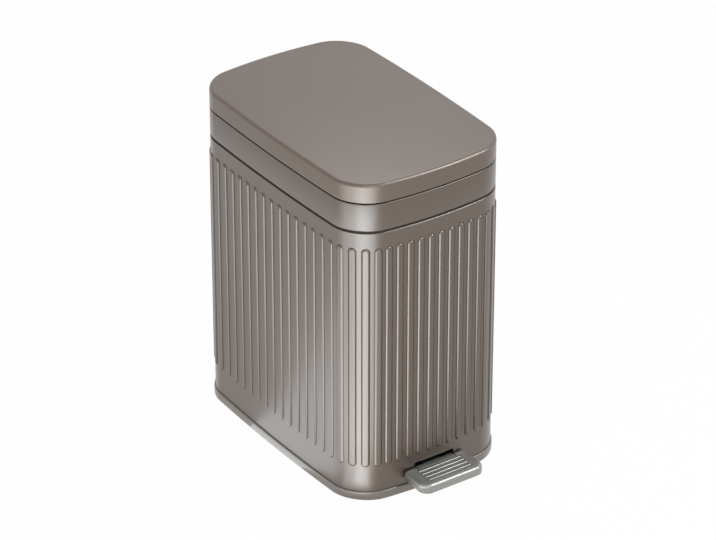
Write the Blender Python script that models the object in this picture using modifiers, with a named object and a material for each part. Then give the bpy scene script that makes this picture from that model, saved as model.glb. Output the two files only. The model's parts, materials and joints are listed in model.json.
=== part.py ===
"""Slim pedal bin: ribbed steel body, moulded base and collar, hinged lid, pedal linkage and bucket.

Metres, +Z up. The pedal is at the front, towards -Y, and the bin stands on Z = 0.
Pieces are drawn about the middle of the body. The empty bin_middle then moves them, so that the
world origin is under the middle of the whole object, pedal and hinge included.
"""
import math

import bmesh
import bpy

# Overall form, measured at the middle of each side
BIN_HEIGHT = 0.370
BIN_WIDTH = 0.1978
BIN_DEPTH = 0.3020
CORNER_RADIUS = 0.0365
LONG_SIDE_BOW = 0.0041
SHORT_SIDE_BOW = 0.0095
CORNER_STEPS = 7
SIDE_STEPS = 5

# Clearances and cuts
TOUCH_GAP = 0.0003
BORE_CLEARANCE = 0.0002
SIDE_PLAY = 0.0007
CUT_OVERRUN = 0.006
ROUND_STEPS = 24
SMALL_STEPS = 12
WELD_DISTANCE = 0.00001

# Stack of the outside, from the floor up
FOOT_STANDOFF = 0.001
BASE_RING_TOP = 0.0107
COLLAR_HEIGHT = 0.0301
COLLAR_SEAM = 0.0028
LID_HEIGHT = 0.0207
LID_SEAM = 0.0015
LID_BOTTOM = BIN_HEIGHT - LID_HEIGHT
COLLAR_TOP = LID_BOTTOM - LID_SEAM
COLLAR_BOTTOM = COLLAR_TOP - COLLAR_HEIGHT
BODY_TOP = COLLAR_BOTTOM - COLLAR_SEAM
BODY_BOTTOM = BASE_RING_TOP + TOUCH_GAP

# Body wall and its pressed ribs
WALL = 0.0008
RIB_START = 0.0411
RIB_TOP_MARGIN = 0.0171
RIB_WIDTH = 0.0078
RIB_CROWN = 0.0050
RIB_HEIGHT = 0.0013
RIB_END_RUN = 0.0030
FRONT_RIB_PITCH = 0.01295
SIDE_RIB_PITCH = 0.01585
CORNER_RIBS = 4
CORNER_WIDENING_SHARE = 0.085
FRONT_RIBS = 1 + int((BIN_WIDTH - 2 * CORNER_RADIUS) / FRONT_RIB_PITCH)
SIDE_RIBS = 1 + int((BIN_DEPTH - 2 * CORNER_RADIUS) / SIDE_RIB_PITCH)
SLOT_HALF_WIDTH = 0.0245
SLOT_TOP = 0.0322

# Base tray
BASE_OUTSET = 0.0018
BASE_CHAMFER = 0.0008
UPSTAND_WALL = 0.0020
UPSTAND_TOP = 0.0220
FLOOR_BOTTOM = 0.0020
FLOOR_THICKNESS = 0.0020
BASE_NOTCH_LEDGE = 0.0080
FOOT_RADIUS = 0.0090
FOOT_STEM_RADIUS = 0.0030
FOOT_STEM_RISE = 0.0015
FOOT_INSET_X = 0.0300
FOOT_INSET_Y = 0.0340

# Collar
COLLAR_WALL = 0.0025
FLANGE_REACH = 0.0060
FLANGE_THICKNESS = 0.0022
SKIRT_WALL = 0.0024
SKIRT_DEPTH = 0.0170
SHELF_DROP = 0.0158
SHELF_THICKNESS = 0.0020
SHELF_CUT_HALF_WIDTH = 0.0090
SHELF_CUT_MARGIN = 0.0015

# Lid
LID_SHEET = 0.0010
LID_ROLL = 0.0035
ROLL_STEPS = 4
LINER_LIFT = 0.0017
LINER_THICKNESS = 0.0020
LINER_RIM_DEPTH = 0.0080
LINER_RIM_WALL = 0.0015
LINER_RIM_ROOM = 0.0015
LINER_CUT_HALF_WIDTH = 0.0130
BUMPER_RADIUS = 0.0021
BUMPER_STEM_RADIUS = 0.0011
BUMPER_STEM_RISE = 0.0010
BUMPER_SIDE_INSET = 0.0389

# Hinge
HINGE_STANDOFF = 0.0055
LID_OPEN_ANGLE = math.radians(80.0)
KNUCKLE_RADIUS = 0.0045
HINGE_PIN_RADIUS = 0.0020
LEAF_HALF_WIDTH = 0.0145
BRACKET_HALF_WIDTH = 0.0340
HINGE_PLATE = 0.0043
BRACKET_DROP = 0.0200
LEAF_RISE = 0.0150
LEAF_FOOT = 0.0020
BRACKET_NOTCH_DROP = 0.0052
BRACKET_SCREW_X = 0.0240
BRACKET_SCREW_DROP = 0.0110
LEAF_SCREW_X = 0.0080
LEAF_SCREW_RISE = 0.0105
SCREW_HEAD_RADIUS = 0.0028
SCREW_HEAD_HEIGHT = 0.0016
SCREW_SHANK_RADIUS = 0.0013
HINGE_SCREW_LENGTH = 0.0090

# Crank on the lid, and the rod that lifts it
CRANK_RADIUS = 0.0250
CRANK_PIN_RADIUS = 0.0020
CRANK_LOBE = 0.0040
CRANK_EAR = 0.0020
CRANK_PLATE = 0.0017
CRANK_PLATE_HALF_WIDTH = 0.0120
CRANK_PLATE_FRONT = 0.0310
CRANK_PLATE_REAR = 0.0165
CRANK_SCREW_X = 0.0087
CRANK_SCREW_HEAD_RADIUS = 0.0020
CRANK_SCREW_HEAD_HEIGHT = 0.0012
CRANK_SCREW_SHANK_RADIUS = 0.0010
CRANK_SCREW_LENGTH = 0.0052
CRANK_PIN_END = 0.0013
ROD_THICKNESS = 0.0050
ROD_WIDTH = 0.0080
ROD_HEAD_WALL = 0.0030
ROD_LIFT_PLAY = 0.00085
ROD_SLIDE_PLAY = 0.0005
ROD_FOOT_PLAY = 0.0008
GUIDE_HALF_WIDTH = 0.0090
GUIDE_HEIGHT = 0.0120
GUIDE_FRONT_WALL = 0.0030
GUIDE_PLAY = 0.0004
LOWER_GUIDE_Z = 0.1000
UPPER_GUIDE_DROP = 0.1200

# Pedal linkage
PIVOT_SETBACK = 0.0330
AXLE_RADIUS = 0.0025
AXLE_DROP = 0.0040
EAR_THICKNESS = 0.0040
EAR_HALF_LENGTH = 0.0060
EAR_RISE = 0.0050
LEVER_WIDTH = 0.0200
LEVER_HEIGHT = 0.0080
LEVER_SHEET = 0.0015
LEVER_TAIL_CLEARANCE = 0.0010
LEVER_END = 0.0050
LEVER_PIN_RADIUS = 0.0017
LEVER_WEB_CUT_HALF_WIDTH = 0.0045
LEVER_BUCKET_ROOM = 0.0030

# Foot pad
PAD_TOP = 0.0270
PAD_DEPTH = 0.0100
PAD_REACH = 0.0375
PAD_REAR_HALF_WIDTH = 0.0375
PAD_FRONT_HALF_WIDTH = 0.0390
PAD_CORNER_RADIUS = 0.0110
PAD_EDGE_ROLL = 0.0035
PAD_WALL = 0.0020
PAD_WALL_GAP = 0.0015
TONGUE_HALF_WIDTH = 0.0225
TONGUE_REACH = 0.0080
NOTCH_WIDTH = 0.0015
NOTCH_DEPTH = 0.0050
GRIP_RIDGES = 4
GRIP_PITCH = 0.0060
GRIP_FIRST = 0.0070
GRIP_WIDTH = 0.0026
GRIP_HEIGHT = 0.0008
GRIP_HALF_LENGTH = 0.0270
RIVET_X = 0.0050
RIVET_SETBACK = 0.0090
RIVET_HEAD_RADIUS = 0.0020
RIVET_HEAD_HEIGHT = 0.0010
RIVET_SHANK_RADIUS = 0.0012
RIVET_GRIP = 0.0012

# Bucket
BUCKET_SIDE_ROOM = 0.0149
BUCKET_FRONT_ROOM = 0.0120
BUCKET_REAR_ROOM = 0.0350
BUCKET_CORNER_RADIUS = 0.0280
BUCKET_WALL = 0.0018
BUCKET_TAPER = 0.0060
BUCKET_FLANGE = 0.0045
BUCKET_FLANGE_THICKNESS = 0.0020
BUCKET_HOLE_ROOM = 0.0010
BUCKET_BOTTOM_CHAMFER = 0.0025
LUG_HALF_LENGTH = 0.0250
LUG_RISE = 0.0060
LUG_THICKNESS = 0.0020

# Places that follow from the sizes above
FACE_Y = BIN_DEPTH / 2
WALL_INSIDE = WALL + TOUCH_GAP
HINGE_Y = FACE_Y + HINGE_STANDOFF
HINGE_Z = (LID_BOTTOM + COLLAR_TOP) / 2
CRANK_REST = LID_OPEN_ANGLE / 2
CRANK_PIN_Y = HINGE_Y - CRANK_RADIUS * math.cos(CRANK_REST)
CRANK_PIN_Z = HINGE_Z - CRANK_RADIUS * math.sin(CRANK_REST)
ROD_TRAVEL = 2 * CRANK_RADIUS * math.sin(CRANK_REST)
SHELF_TOP = COLLAR_TOP - SHELF_DROP
LINER_BOTTOM = LID_BOTTOM + LINER_LIFT
LINER_TOP = LINER_BOTTOM + LINER_THICKNESS
LINER_RIM_OUT = FLANGE_REACH + LINER_RIM_ROOM
FLOOR_TOP = FLOOR_BOTTOM + FLOOR_THICKNESS
LEVER_TOP = PAD_TOP - PAD_WALL - TOUCH_GAP
PIVOT_Y = -FACE_Y + PIVOT_SETBACK
PIVOT_Z = LEVER_TOP - AXLE_DROP
TAIL_Z = FLOOR_TOP + LEVER_TAIL_CLEARANCE + LEVER_HEIGHT / 2
TAIL_Y = CRANK_PIN_Y
TAIL_RUN = math.hypot(TAIL_Y - PIVOT_Y, TAIL_Z - PIVOT_Z)
TAIL_REST = math.asin((TAIL_Z - PIVOT_Z) / TAIL_RUN)
TAIL_LIFTED = math.asin((TAIL_Z + ROD_TRAVEL - PIVOT_Z) / TAIL_RUN)
PEDAL_ANGLE = TAIL_LIFTED - TAIL_REST
BUCKET_BOTTOM = TAIL_Z + ROD_TRAVEL + LEVER_HEIGHT / 2 + LEVER_BUCKET_ROOM
PAD_FRONT_Y = -FACE_Y - PAD_REACH
REAR_Y = HINGE_Y + KNUCKLE_RADIUS
MIDDLE_SHIFT = -(PAD_FRONT_Y + REAR_Y) / 2

# Colour, metallic, roughness
FINISHES = {
    "bronze_metal": ((0.30, 0.26, 0.22), 0.85, 0.38),
    "bronze_plastic": ((0.30, 0.26, 0.22), 0.60, 0.42),
    "dark_plastic": ((0.05, 0.045, 0.04), 0.0, 0.55),
    "satin_nickel": ((0.62, 0.60, 0.57), 0.95, 0.28),
    "zinc_steel": ((0.55, 0.55, 0.54), 0.9, 0.40),
    "bucket_plastic": ((0.09, 0.085, 0.08), 0.0, 0.50),
    "rubber": ((0.03, 0.03, 0.03), 0.0, 0.80),
}

for old in list(bpy.data.objects):
    bpy.data.objects.remove(old, do_unlink=True)

pieces = bpy.data.collections.new("pedal_bin")
cutters = bpy.data.collections.new("pedal_bin_cutters")
bpy.context.scene.collection.children.link(pieces)
bpy.context.scene.collection.children.link(cutters)


def make_empty(name, parent=None, location=(0, 0, 0)):
    empty = bpy.data.objects.new(name, None)
    pieces.objects.link(empty)
    empty.parent = parent
    empty.location = location
    return empty


bin_middle = make_empty("bin_middle", None, (0, MIDDLE_SHIFT, 0))
lid_axis = make_empty("lid_axis", bin_middle, (0, HINGE_Y, HINGE_Z))
pedal_axis = make_empty("pedal_axis", bin_middle, (0, PIVOT_Y, PIVOT_Z))
rod_axis = make_empty("rod_axis", bin_middle, (0, TAIL_Y, TAIL_Z))


def make_material(name):
    colour, metallic, roughness = FINISHES[name]
    material = bpy.data.materials.new(name)
    material.use_nodes = True
    shader = material.node_tree.nodes["Principled BSDF"]
    shader.inputs["Base Color"].default_value = (*colour, 1)
    shader.inputs["Metallic"].default_value = metallic
    shader.inputs["Roughness"].default_value = roughness
    return material


def add_piece(name, mesh, finish, carrier=bin_middle):
    """A named piece, drawn in the bin's own places and carried by one of the empties."""
    piece = bpy.data.objects.new(name, mesh)
    pieces.objects.link(piece)
    material = make_material(finish)
    material.name = name
    mesh.materials.append(material)
    mesh.shade_smooth()
    mesh.set_sharp_from_angle(angle=math.radians(30))
    settle(piece, carrier)
    return piece


def settle(thing, carrier):
    thing.parent = carrier
    if carrier is not bin_middle:
        thing.location = -carrier.location


def add_cutter(name, mesh, carrier=bin_middle):
    cutter = bpy.data.objects.new(name, mesh)
    cutters.objects.link(cutter)
    cutter.hide_render = True
    cutter.display_type = "WIRE"
    settle(cutter, carrier)
    return cutter


def combine(piece, tool, operation):
    boolean = piece.modifiers.new(tool.name, "BOOLEAN")
    boolean.operation = operation
    boolean.solver = "EXACT"
    boolean.object = tool


def cut(piece, name, mesh):
    combine(piece, add_cutter(name, mesh, piece.parent), "DIFFERENCE")


def weld_on(piece, name, mesh):
    combine(piece, add_cutter(name, mesh, piece.parent), "UNION")


def bowed(x, y):
    """Moves a point of the plain rounded rectangle, so that the sides bow out to their middles."""
    pull_x = 1 - 2 * LONG_SIDE_BOW / BIN_WIDTH * (2 * y / BIN_DEPTH) ** 2
    pull_y = 1 - 2 * SHORT_SIDE_BOW / BIN_DEPTH * (2 * x / BIN_WIDTH) ** 2
    return x * pull_x, y * pull_y


def rounded_outline(half_width, half_depth, radius, middle_y=0.0):
    """A rounded rectangle, anticlockwise, with points along its sides as well as round its corners."""
    corners = (
        (half_width - radius, -half_depth + radius, -90),
        (half_width - radius, half_depth - radius, 0),
        (-half_width + radius, half_depth - radius, 90),
        (-half_width + radius, -half_depth + radius, 180),
    )
    points = []
    for index, (x, y, start) in enumerate(corners):
        for step in range(CORNER_STEPS + 1):
            angle = math.radians(start + 90 * step / CORNER_STEPS)
            points.append((x + radius * math.cos(angle), middle_y + y + radius * math.sin(angle)))
        next_x, next_y, next_start = corners[(index + 1) % len(corners)]
        turn = math.radians(next_start)
        end = (next_x + radius * math.cos(turn), middle_y + next_y + radius * math.sin(turn))
        begin = points[-1]
        for step in range(1, SIDE_STEPS):
            share = step / SIDE_STEPS
            points.append((begin[0] + (end[0] - begin[0]) * share, begin[1] + (end[1] - begin[1]) * share))
    return points


def body_outline(offset):
    """The bin's plan, moved out by offset, or in where it is negative."""
    plain = rounded_outline(BIN_WIDTH / 2 + offset, BIN_DEPTH / 2 + offset, CORNER_RADIUS + offset)
    return [bowed(x, y) for x, y in plain]


def bucket_outline(offset):
    front = -FACE_Y + BUCKET_FRONT_ROOM
    rear = FACE_Y - BUCKET_REAR_ROOM
    half_width = BIN_WIDTH / 2 - BUCKET_SIDE_ROOM + offset
    half_depth = (rear - front) / 2 + offset
    return rounded_outline(half_width, half_depth, BUCKET_CORNER_RADIUS + offset, (front + rear) / 2)


def pad_outline(inset):
    """The pad's plan: a square rear edge, sides that flare forward, and round front corners."""
    rear = -FACE_Y + TONGUE_REACH
    front = PAD_FRONT_Y + inset
    radius = PAD_CORNER_RADIUS - inset
    half_front = PAD_FRONT_HALF_WIDTH - inset
    half_rear = PAD_REAR_HALF_WIDTH - inset
    points = [(half_rear, rear), (-half_rear, rear)]
    for side, start in ((-1, 180), (1, 270)):
        for step in range(CORNER_STEPS + 1):
            angle = math.radians(start + 90 * step / CORNER_STEPS)
            x = side * (half_front - radius) + radius * math.cos(angle)
            points.append((x, front + radius + radius * math.sin(angle)))
    return points


def loft(levels, closed=False, open_ends=False):
    """A skin over outlines of equal count at their heights. Closed joins the last to the first."""
    bm = bmesh.new()
    rings = []
    for outline, z in levels:
        rings.append([bm.verts.new((x, y, z)) for x, y in outline])
    pairs = list(zip(rings, rings[1:]))
    if closed:
        pairs.append((rings[-1], rings[0]))
    for lower, upper in pairs:
        count = len(lower)
        for i in range(count):
            j = (i + 1) % count
            bm.faces.new((lower[i], lower[j], upper[j], upper[i]))
    if not closed and not open_ends:
        bm.faces.new(reversed(rings[0]))
        bm.faces.new(rings[-1])
    if not open_ends:
        bmesh.ops.recalc_face_normals(bm, faces=bm.faces)
    return to_mesh(bm, "loft")


def to_mesh(bm, name):
    mesh = bpy.data.meshes.new(name)
    bm.to_mesh(mesh)
    bm.free()
    return mesh


def box_mesh(low, high):
    bm = bmesh.new()
    bmesh.ops.create_cube(bm, size=1)
    for vert in bm.verts:
        for axis in range(3):
            middle = (low[axis] + high[axis]) / 2
            vert.co[axis] = middle + vert.co[axis] * (high[axis] - low[axis])
    return to_mesh(bm, "box")


def turned_mesh(profile, centre, axis="Z", steps=ROUND_STEPS):
    """A profile of (radius, height) pairs, top to bottom, turned round and stood along an axis."""
    mesh = bpy.data.meshes.new("turned")
    edges = [(i, i + 1) for i in range(len(profile) - 1)]
    mesh.from_pydata([(radius, 0, height) for radius, height in profile], edges, [])
    shape = bpy.data.objects.new("turned", mesh)
    bpy.context.scene.collection.objects.link(shape)
    screw = shape.modifiers.new("turn", "SCREW")
    screw.steps = steps
    screw.render_steps = steps
    screw.use_merge_vertices = True
    screw.merge_threshold = WELD_DISTANCE
    turns = {"Z": (0, 0, 0), "X": (0, 90, 0), "Y": (-90, 0, 0), "-Z": (180, 0, 0)}
    shape.rotation_euler = [math.radians(turn) for turn in turns[axis]]
    shape.location = centre
    return baked(shape)


def baked(shape):
    """The evaluated mesh of a helper shape, in place, with loose caps welded. The helper goes."""
    bpy.context.view_layer.update()
    depsgraph = bpy.context.evaluated_depsgraph_get()
    mesh = bpy.data.meshes.new_from_object(shape.evaluated_get(depsgraph))
    mesh.transform(shape.matrix_world)
    bm = bmesh.new()
    bm.from_mesh(mesh)
    bmesh.ops.remove_doubles(bm, verts=bm.verts, dist=WELD_DISTANCE)
    bmesh.ops.recalc_face_normals(bm, faces=bm.faces)
    bm.to_mesh(mesh)
    bm.free()
    mesh.materials.clear()
    bpy.data.objects.remove(shape, do_unlink=True)
    return mesh


def pin_mesh(radius, half_length, centre, axis="X", chamfer=0.0, steps=ROUND_STEPS):
    profile = [(0, half_length), (radius - chamfer, half_length)]
    if chamfer:
        profile += [(radius, half_length - chamfer), (radius, -half_length + chamfer)]
    profile += [(radius - chamfer, -half_length), (0, -half_length)]
    return turned_mesh(profile, centre, axis, steps)


def headed_mesh(head_radius, head_height, shank_radius, length, centre, axis):
    """A screw or rivet. Its head stands on the centre, and its shank runs the other way."""
    dome = head_height / 2
    profile = [
        (0, head_height),
        (head_radius - dome, head_height),
        (head_radius, head_height - dome),
        (head_radius, 0),
        (shank_radius, 0),
        (shank_radius, -length),
        (0, -length),
    ]
    return turned_mesh(profile, centre, axis, SMALL_STEPS)


def plate_mesh(loops, thickness, middle_x=0.0):
    """A flat plate in the YZ plane, from outlines of (y, z) points. Inner loops are its holes."""
    curve = bpy.data.curves.new("plate", "CURVE")
    curve.dimensions = "2D"
    curve.fill_mode = "BOTH"
    curve.extrude = thickness / 2
    for loop in loops:
        spline = curve.splines.new("POLY")
        spline.points.add(len(loop) - 1)
        for point, (u, v) in zip(spline.points, loop):
            point.co = (u, v, 0, 1)
        spline.use_cyclic_u = True
    shape = bpy.data.objects.new("plate", curve)
    bpy.context.scene.collection.objects.link(shape)
    shape.rotation_euler = (math.radians(90), 0, math.radians(90))
    shape.location = (middle_x, 0, 0)
    return baked(shape)


def arc(centre_u, centre_v, radius, start, end, steps):
    points = []
    for step in range(steps + 1):
        angle = math.radians(start + (end - start) * step / steps)
        points.append((centre_u + radius * math.cos(angle), centre_v + radius * math.sin(angle)))
    return points


def slot_loop(centre_u, centre_v, half_run, radius):
    """A slot along u. The half run is measured between the middle and the centre of an end."""
    right = arc(centre_u + half_run, centre_v, radius, -90, 90, SMALL_STEPS)
    left = arc(centre_u - half_run, centre_v, radius, 90, 270, SMALL_STEPS)
    return right + left


def rib_centres():
    """Places along the wall, counted from the middle of the front, where ribs have their middles."""
    front_spread = FRONT_RIB_PITCH * (FRONT_RIBS - 1)
    side_spread = SIDE_RIB_PITCH * (SIDE_RIBS - 1)
    straight = BIN_WIDTH / 2 + BIN_DEPTH / 2 - 2 * CORNER_RADIUS
    quarter = straight + CORNER_RADIUS * math.pi / 2
    corner_pitch = (quarter - front_spread / 2 - side_spread / 2) / (CORNER_RIBS + 1)
    widening = []
    for i in range(CORNER_RIBS + 1):
        change_share = CORNER_WIDENING_SHARE * (2 * i / CORNER_RIBS - 1)
        widening.append(corner_pitch * (1 + change_share))
    narrowing = widening[::-1]
    half_round = [FRONT_RIB_PITCH] * (FRONT_RIBS - 1) + widening
    half_round += [SIDE_RIB_PITCH] * (SIDE_RIBS - 1) + narrowing
    place = -front_spread / 2
    centres = []
    for gap in half_round + half_round:
        centres.append(place)
        place += gap
    return centres


def rib_columns():
    """Places along the wall where ribs have their feet and crowns."""
    columns = []
    for centre in rib_centres():
        columns.append((centre - RIB_WIDTH / 2, 0))
        columns.append((centre - RIB_CROWN / 2, 1))
        columns.append((centre + RIB_CROWN / 2, 1))
        columns.append((centre + RIB_WIDTH / 2, 0))
    return columns


def wall_point(run, outset):
    """The point at a run along the plain outline, anticlockwise from the middle of the front."""
    half_x = BIN_WIDTH / 2 - CORNER_RADIUS
    half_y = BIN_DEPTH / 2 - CORNER_RADIUS
    corner_run = CORNER_RADIUS * math.pi / 2
    quarter = half_x + corner_run + half_y
    half = 2 * quarter
    run = run % (2 * half)
    turned = run >= half
    run = run % half
    mirrored = run > quarter
    if mirrored:
        run = half - run
    reach = CORNER_RADIUS + outset
    if run <= half_x:
        x = run
        y = -half_y - reach
    elif run <= half_x + corner_run:
        angle = (run - half_x) / CORNER_RADIUS
        x = half_x + reach * math.sin(angle)
        y = -half_y - reach * math.cos(angle)
    else:
        x = half_x + reach
        y = -half_y + run - half_x - corner_run
    if mirrored:
        y = -y
    if turned:
        x = -x
        y = -y
    return bowed(x, y)


def make_body_shell():
    columns = rib_columns()
    plain = [wall_point(run, 0) for run, _ in columns]
    ribbed = [wall_point(run, RIB_HEIGHT * raised) for run, raised in columns]
    rib_end = BODY_TOP - RIB_TOP_MARGIN
    skin = loft(
        [
            (plain, BODY_BOTTOM),
            (plain, RIB_START),
            (ribbed, RIB_START + RIB_END_RUN),
            (ribbed, rib_end - RIB_END_RUN),
            (plain, rib_end),
            (plain, BODY_TOP),
        ],
        open_ends=True,
    )
    shell = add_piece("body_shell", skin, "bronze_metal")
    thicken = shell.modifiers.new("sheet", "SOLIDIFY")
    thicken.thickness = WALL
    thicken.offset = -1
    thicken.use_even_offset = True
    low = (-SLOT_HALF_WIDTH, -FACE_Y - CUT_OVERRUN, BODY_BOTTOM - CUT_OVERRUN)
    high = (SLOT_HALF_WIDTH, -FACE_Y + SHORT_SIDE_BOW + CUT_OVERRUN, SLOT_TOP)
    cut(shell, "body_slot_cutter", box_mesh(low, high))


def make_base():
    ring_in = -WALL_INSIDE - UPSTAND_WALL
    tray = loft(
        [
            (body_outline(ring_in), FLOOR_BOTTOM),
            (body_outline(ring_in), FOOT_STANDOFF),
            (body_outline(BASE_OUTSET - BASE_CHAMFER), FOOT_STANDOFF),
            (body_outline(BASE_OUTSET), FOOT_STANDOFF + BASE_CHAMFER),
            (body_outline(BASE_OUTSET), BASE_RING_TOP - BASE_CHAMFER),
            (body_outline(BASE_OUTSET - BASE_CHAMFER), BASE_RING_TOP),
            (body_outline(-WALL_INSIDE), BASE_RING_TOP),
            (body_outline(-WALL_INSIDE), UPSTAND_TOP),
            (body_outline(ring_in), UPSTAND_TOP),
            (body_outline(ring_in), FLOOR_TOP),
        ]
    )
    base = add_piece("base", tray, "bronze_plastic")
    ear_in = LEVER_WIDTH / 2 + SIDE_PLAY
    for side, label in ((-1, "left"), (1, "right")):
        xs = sorted((side * ear_in, side * (ear_in + EAR_THICKNESS)))
        low = (xs[0], PIVOT_Y - EAR_HALF_LENGTH, FLOOR_TOP - FLOOR_THICKNESS / 2)
        high = (xs[1], PIVOT_Y + EAR_HALF_LENGTH, PIVOT_Z + EAR_RISE)
        weld_on(base, "ear_" + label, box_mesh(low, high))
    bore = pin_mesh(AXLE_RADIUS + BORE_CLEARANCE, ear_in + EAR_THICKNESS + CUT_OVERRUN, (0, PIVOT_Y, PIVOT_Z))
    cut(base, "axle_bore_cutter", bore)
    low = (-SLOT_HALF_WIDTH, -FACE_Y - CUT_OVERRUN, BASE_NOTCH_LEDGE)
    high = (SLOT_HALF_WIDTH, PIVOT_Y - EAR_HALF_LENGTH - CUT_OVERRUN, UPSTAND_TOP + CUT_OVERRUN)
    cut(base, "pedal_notch_cutter", box_mesh(low, high))
    for label, x, y in foot_places():
        hole = pin_mesh(FOOT_STEM_RADIUS + TOUCH_GAP, FLOOR_TOP + CUT_OVERRUN, (x, y, 0), "Z")
        cut(base, "foot_hole_" + label, hole)


def foot_places():
    x = BIN_WIDTH / 2 - FOOT_INSET_X
    y = BIN_DEPTH / 2 - FOOT_INSET_Y
    return (("front_left", -x, -y), ("front_right", x, -y), ("rear_left", -x, y), ("rear_right", x, y))


def make_feet():
    disc_top = FLOOR_BOTTOM - TOUCH_GAP
    profile = [
        (0, FLOOR_TOP + FOOT_STEM_RISE),
        (FOOT_STEM_RADIUS, FLOOR_TOP + FOOT_STEM_RISE),
        (FOOT_STEM_RADIUS, disc_top),
        (FOOT_RADIUS, disc_top),
        (FOOT_RADIUS, 0),
        (0, 0),
    ]
    for label, x, y in foot_places():
        add_piece("foot_" + label, turned_mesh(profile, (x, y, 0)), "rubber")


def make_collar():
    skirt_out = -WALL_INSIDE
    skirt_in = -WALL_INSIDE - SKIRT_WALL
    skirt_bottom = COLLAR_BOTTOM - SKIRT_DEPTH
    hole = bucket_outline(BUCKET_HOLE_ROOM)
    band = loft(
        [
            (body_outline(0), COLLAR_BOTTOM),
            (body_outline(0), COLLAR_TOP),
            (body_outline(-FLANGE_REACH), COLLAR_TOP),
            (body_outline(-FLANGE_REACH), COLLAR_TOP - FLANGE_THICKNESS),
            (body_outline(-COLLAR_WALL), COLLAR_TOP - FLANGE_THICKNESS),
            (body_outline(-COLLAR_WALL), SHELF_TOP),
            (hole, SHELF_TOP),
            (hole, SHELF_TOP - SHELF_THICKNESS),
            (body_outline(skirt_in), SHELF_TOP - SHELF_THICKNESS),
            (body_outline(skirt_in), skirt_bottom),
            (body_outline(skirt_out), skirt_bottom),
            (body_outline(skirt_out), COLLAR_BOTTOM),
        ],
        closed=True,
    )
    collar = add_piece("collar", band, "bronze_plastic")
    low_z = SHELF_TOP - SHELF_THICKNESS - CUT_OVERRUN / 2
    low = (-SHELF_CUT_HALF_WIDTH, HINGE_Y - CRANK_PLATE_FRONT - SHELF_CUT_MARGIN, low_z)
    rear = CRANK_PIN_Y + CRANK_LOBE + ROD_HEAD_WALL
    high = (SHELF_CUT_HALF_WIDTH, rear, SHELF_TOP + CUT_OVERRUN / 2)
    cut(collar, "rod_opening_cutter", box_mesh(low, high))
    for name, x, z in bracket_screw_places():
        shaft = SCREW_SHANK_RADIUS + BORE_CLEARANCE
        middle = (x, FACE_Y, z)
        cut(collar, name + "_collar_hole", pin_mesh(shaft, CUT_OVERRUN, middle, "Y", steps=SMALL_STEPS))


def lid_roll(offset, top, radius):
    """Outlines of the lid's rolled edge, from its side up to its flat top."""
    levels = []
    for step in range(ROLL_STEPS + 1):
        angle = math.radians(90 * step / ROLL_STEPS)
        inward = radius * (1 - math.cos(angle))
        levels.append((body_outline(offset - inward), top - radius + radius * math.sin(angle)))
    return levels


def make_lid_shell():
    inner = lid_roll(-LID_SHEET, BIN_HEIGHT - LID_SHEET, LID_ROLL - LID_SHEET)
    inner.reverse()
    outer = lid_roll(0, BIN_HEIGHT, LID_ROLL)
    edge = [(body_outline(-LID_SHEET), LID_BOTTOM), (body_outline(0), LID_BOTTOM)]
    shell = add_piece("lid_shell", loft(inner + edge + outer), "bronze_metal", lid_axis)
    for name, x, z in leaf_screw_places():
        shaft = SCREW_SHANK_RADIUS + BORE_CLEARANCE
        middle = (x, FACE_Y, z)
        cut(shell, name + "_lid_hole", pin_mesh(shaft, CUT_OVERRUN, middle, "Y", steps=SMALL_STEPS))


def bumper_places():
    x, y = bowed(BIN_WIDTH / 2 - BUMPER_SIDE_INSET, -FACE_Y + (FLANGE_REACH + LID_SHEET) / 2)
    return (("left", -x, y), ("right", x, y))


def crank_screw_places():
    y = HINGE_Y - (CRANK_PLATE_FRONT + CRANK_PLATE_REAR) / 2
    return (("left", -CRANK_SCREW_X, y), ("right", CRANK_SCREW_X, y))


def make_lid_liner():
    rim_out = -LINER_RIM_OUT
    rim_in = -LINER_RIM_OUT - LINER_RIM_WALL
    edge = -LID_SHEET - TOUCH_GAP
    pan = loft(
        [
            (body_outline(rim_in), LINER_BOTTOM),
            (body_outline(rim_in), LINER_BOTTOM - LINER_RIM_DEPTH),
            (body_outline(rim_out), LINER_BOTTOM - LINER_RIM_DEPTH),
            (body_outline(rim_out), LINER_BOTTOM),
            (body_outline(edge), LINER_BOTTOM),
            (body_outline(edge), LINER_TOP),
        ]
    )
    liner = add_piece("lid_liner", pan, "dark_plastic", lid_axis)
    low = (-LINER_CUT_HALF_WIDTH, HINGE_Y - CRANK_PLATE_FRONT, LINER_BOTTOM - LINER_RIM_DEPTH - CUT_OVERRUN)
    high = (LINER_CUT_HALF_WIDTH, FACE_Y, LINER_BOTTOM)
    cut(liner, "rim_gap_cutter", box_mesh(low, high))
    for label, x, y in bumper_places():
        hole = pin_mesh(BUMPER_STEM_RADIUS + TOUCH_GAP, CUT_OVERRUN, (x, y, LINER_TOP), "Z", steps=SMALL_STEPS)
        cut(liner, "bumper_hole_" + label, hole)
    for label, x, y in crank_screw_places():
        shaft = CRANK_SCREW_SHANK_RADIUS + BORE_CLEARANCE
        hole = pin_mesh(shaft, CUT_OVERRUN, (x, y, LINER_TOP), "Z", steps=SMALL_STEPS)
        cut(liner, "crank_hole_" + label, hole)


def make_bumpers():
    foot = COLLAR_TOP + TOUCH_GAP
    seat = LINER_BOTTOM - TOUCH_GAP
    profile = [
        (0, LINER_TOP + BUMPER_STEM_RISE),
        (BUMPER_STEM_RADIUS, LINER_TOP + BUMPER_STEM_RISE),
        (BUMPER_STEM_RADIUS, seat),
        (BUMPER_RADIUS, seat),
        (BUMPER_RADIUS, foot),
        (0, foot),
    ]
    for label, x, y in bumper_places():
        mesh = turned_mesh(profile, (x, y, 0), steps=SMALL_STEPS)
        add_piece("lid_bumper_" + label, mesh, "rubber", lid_axis)


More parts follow.
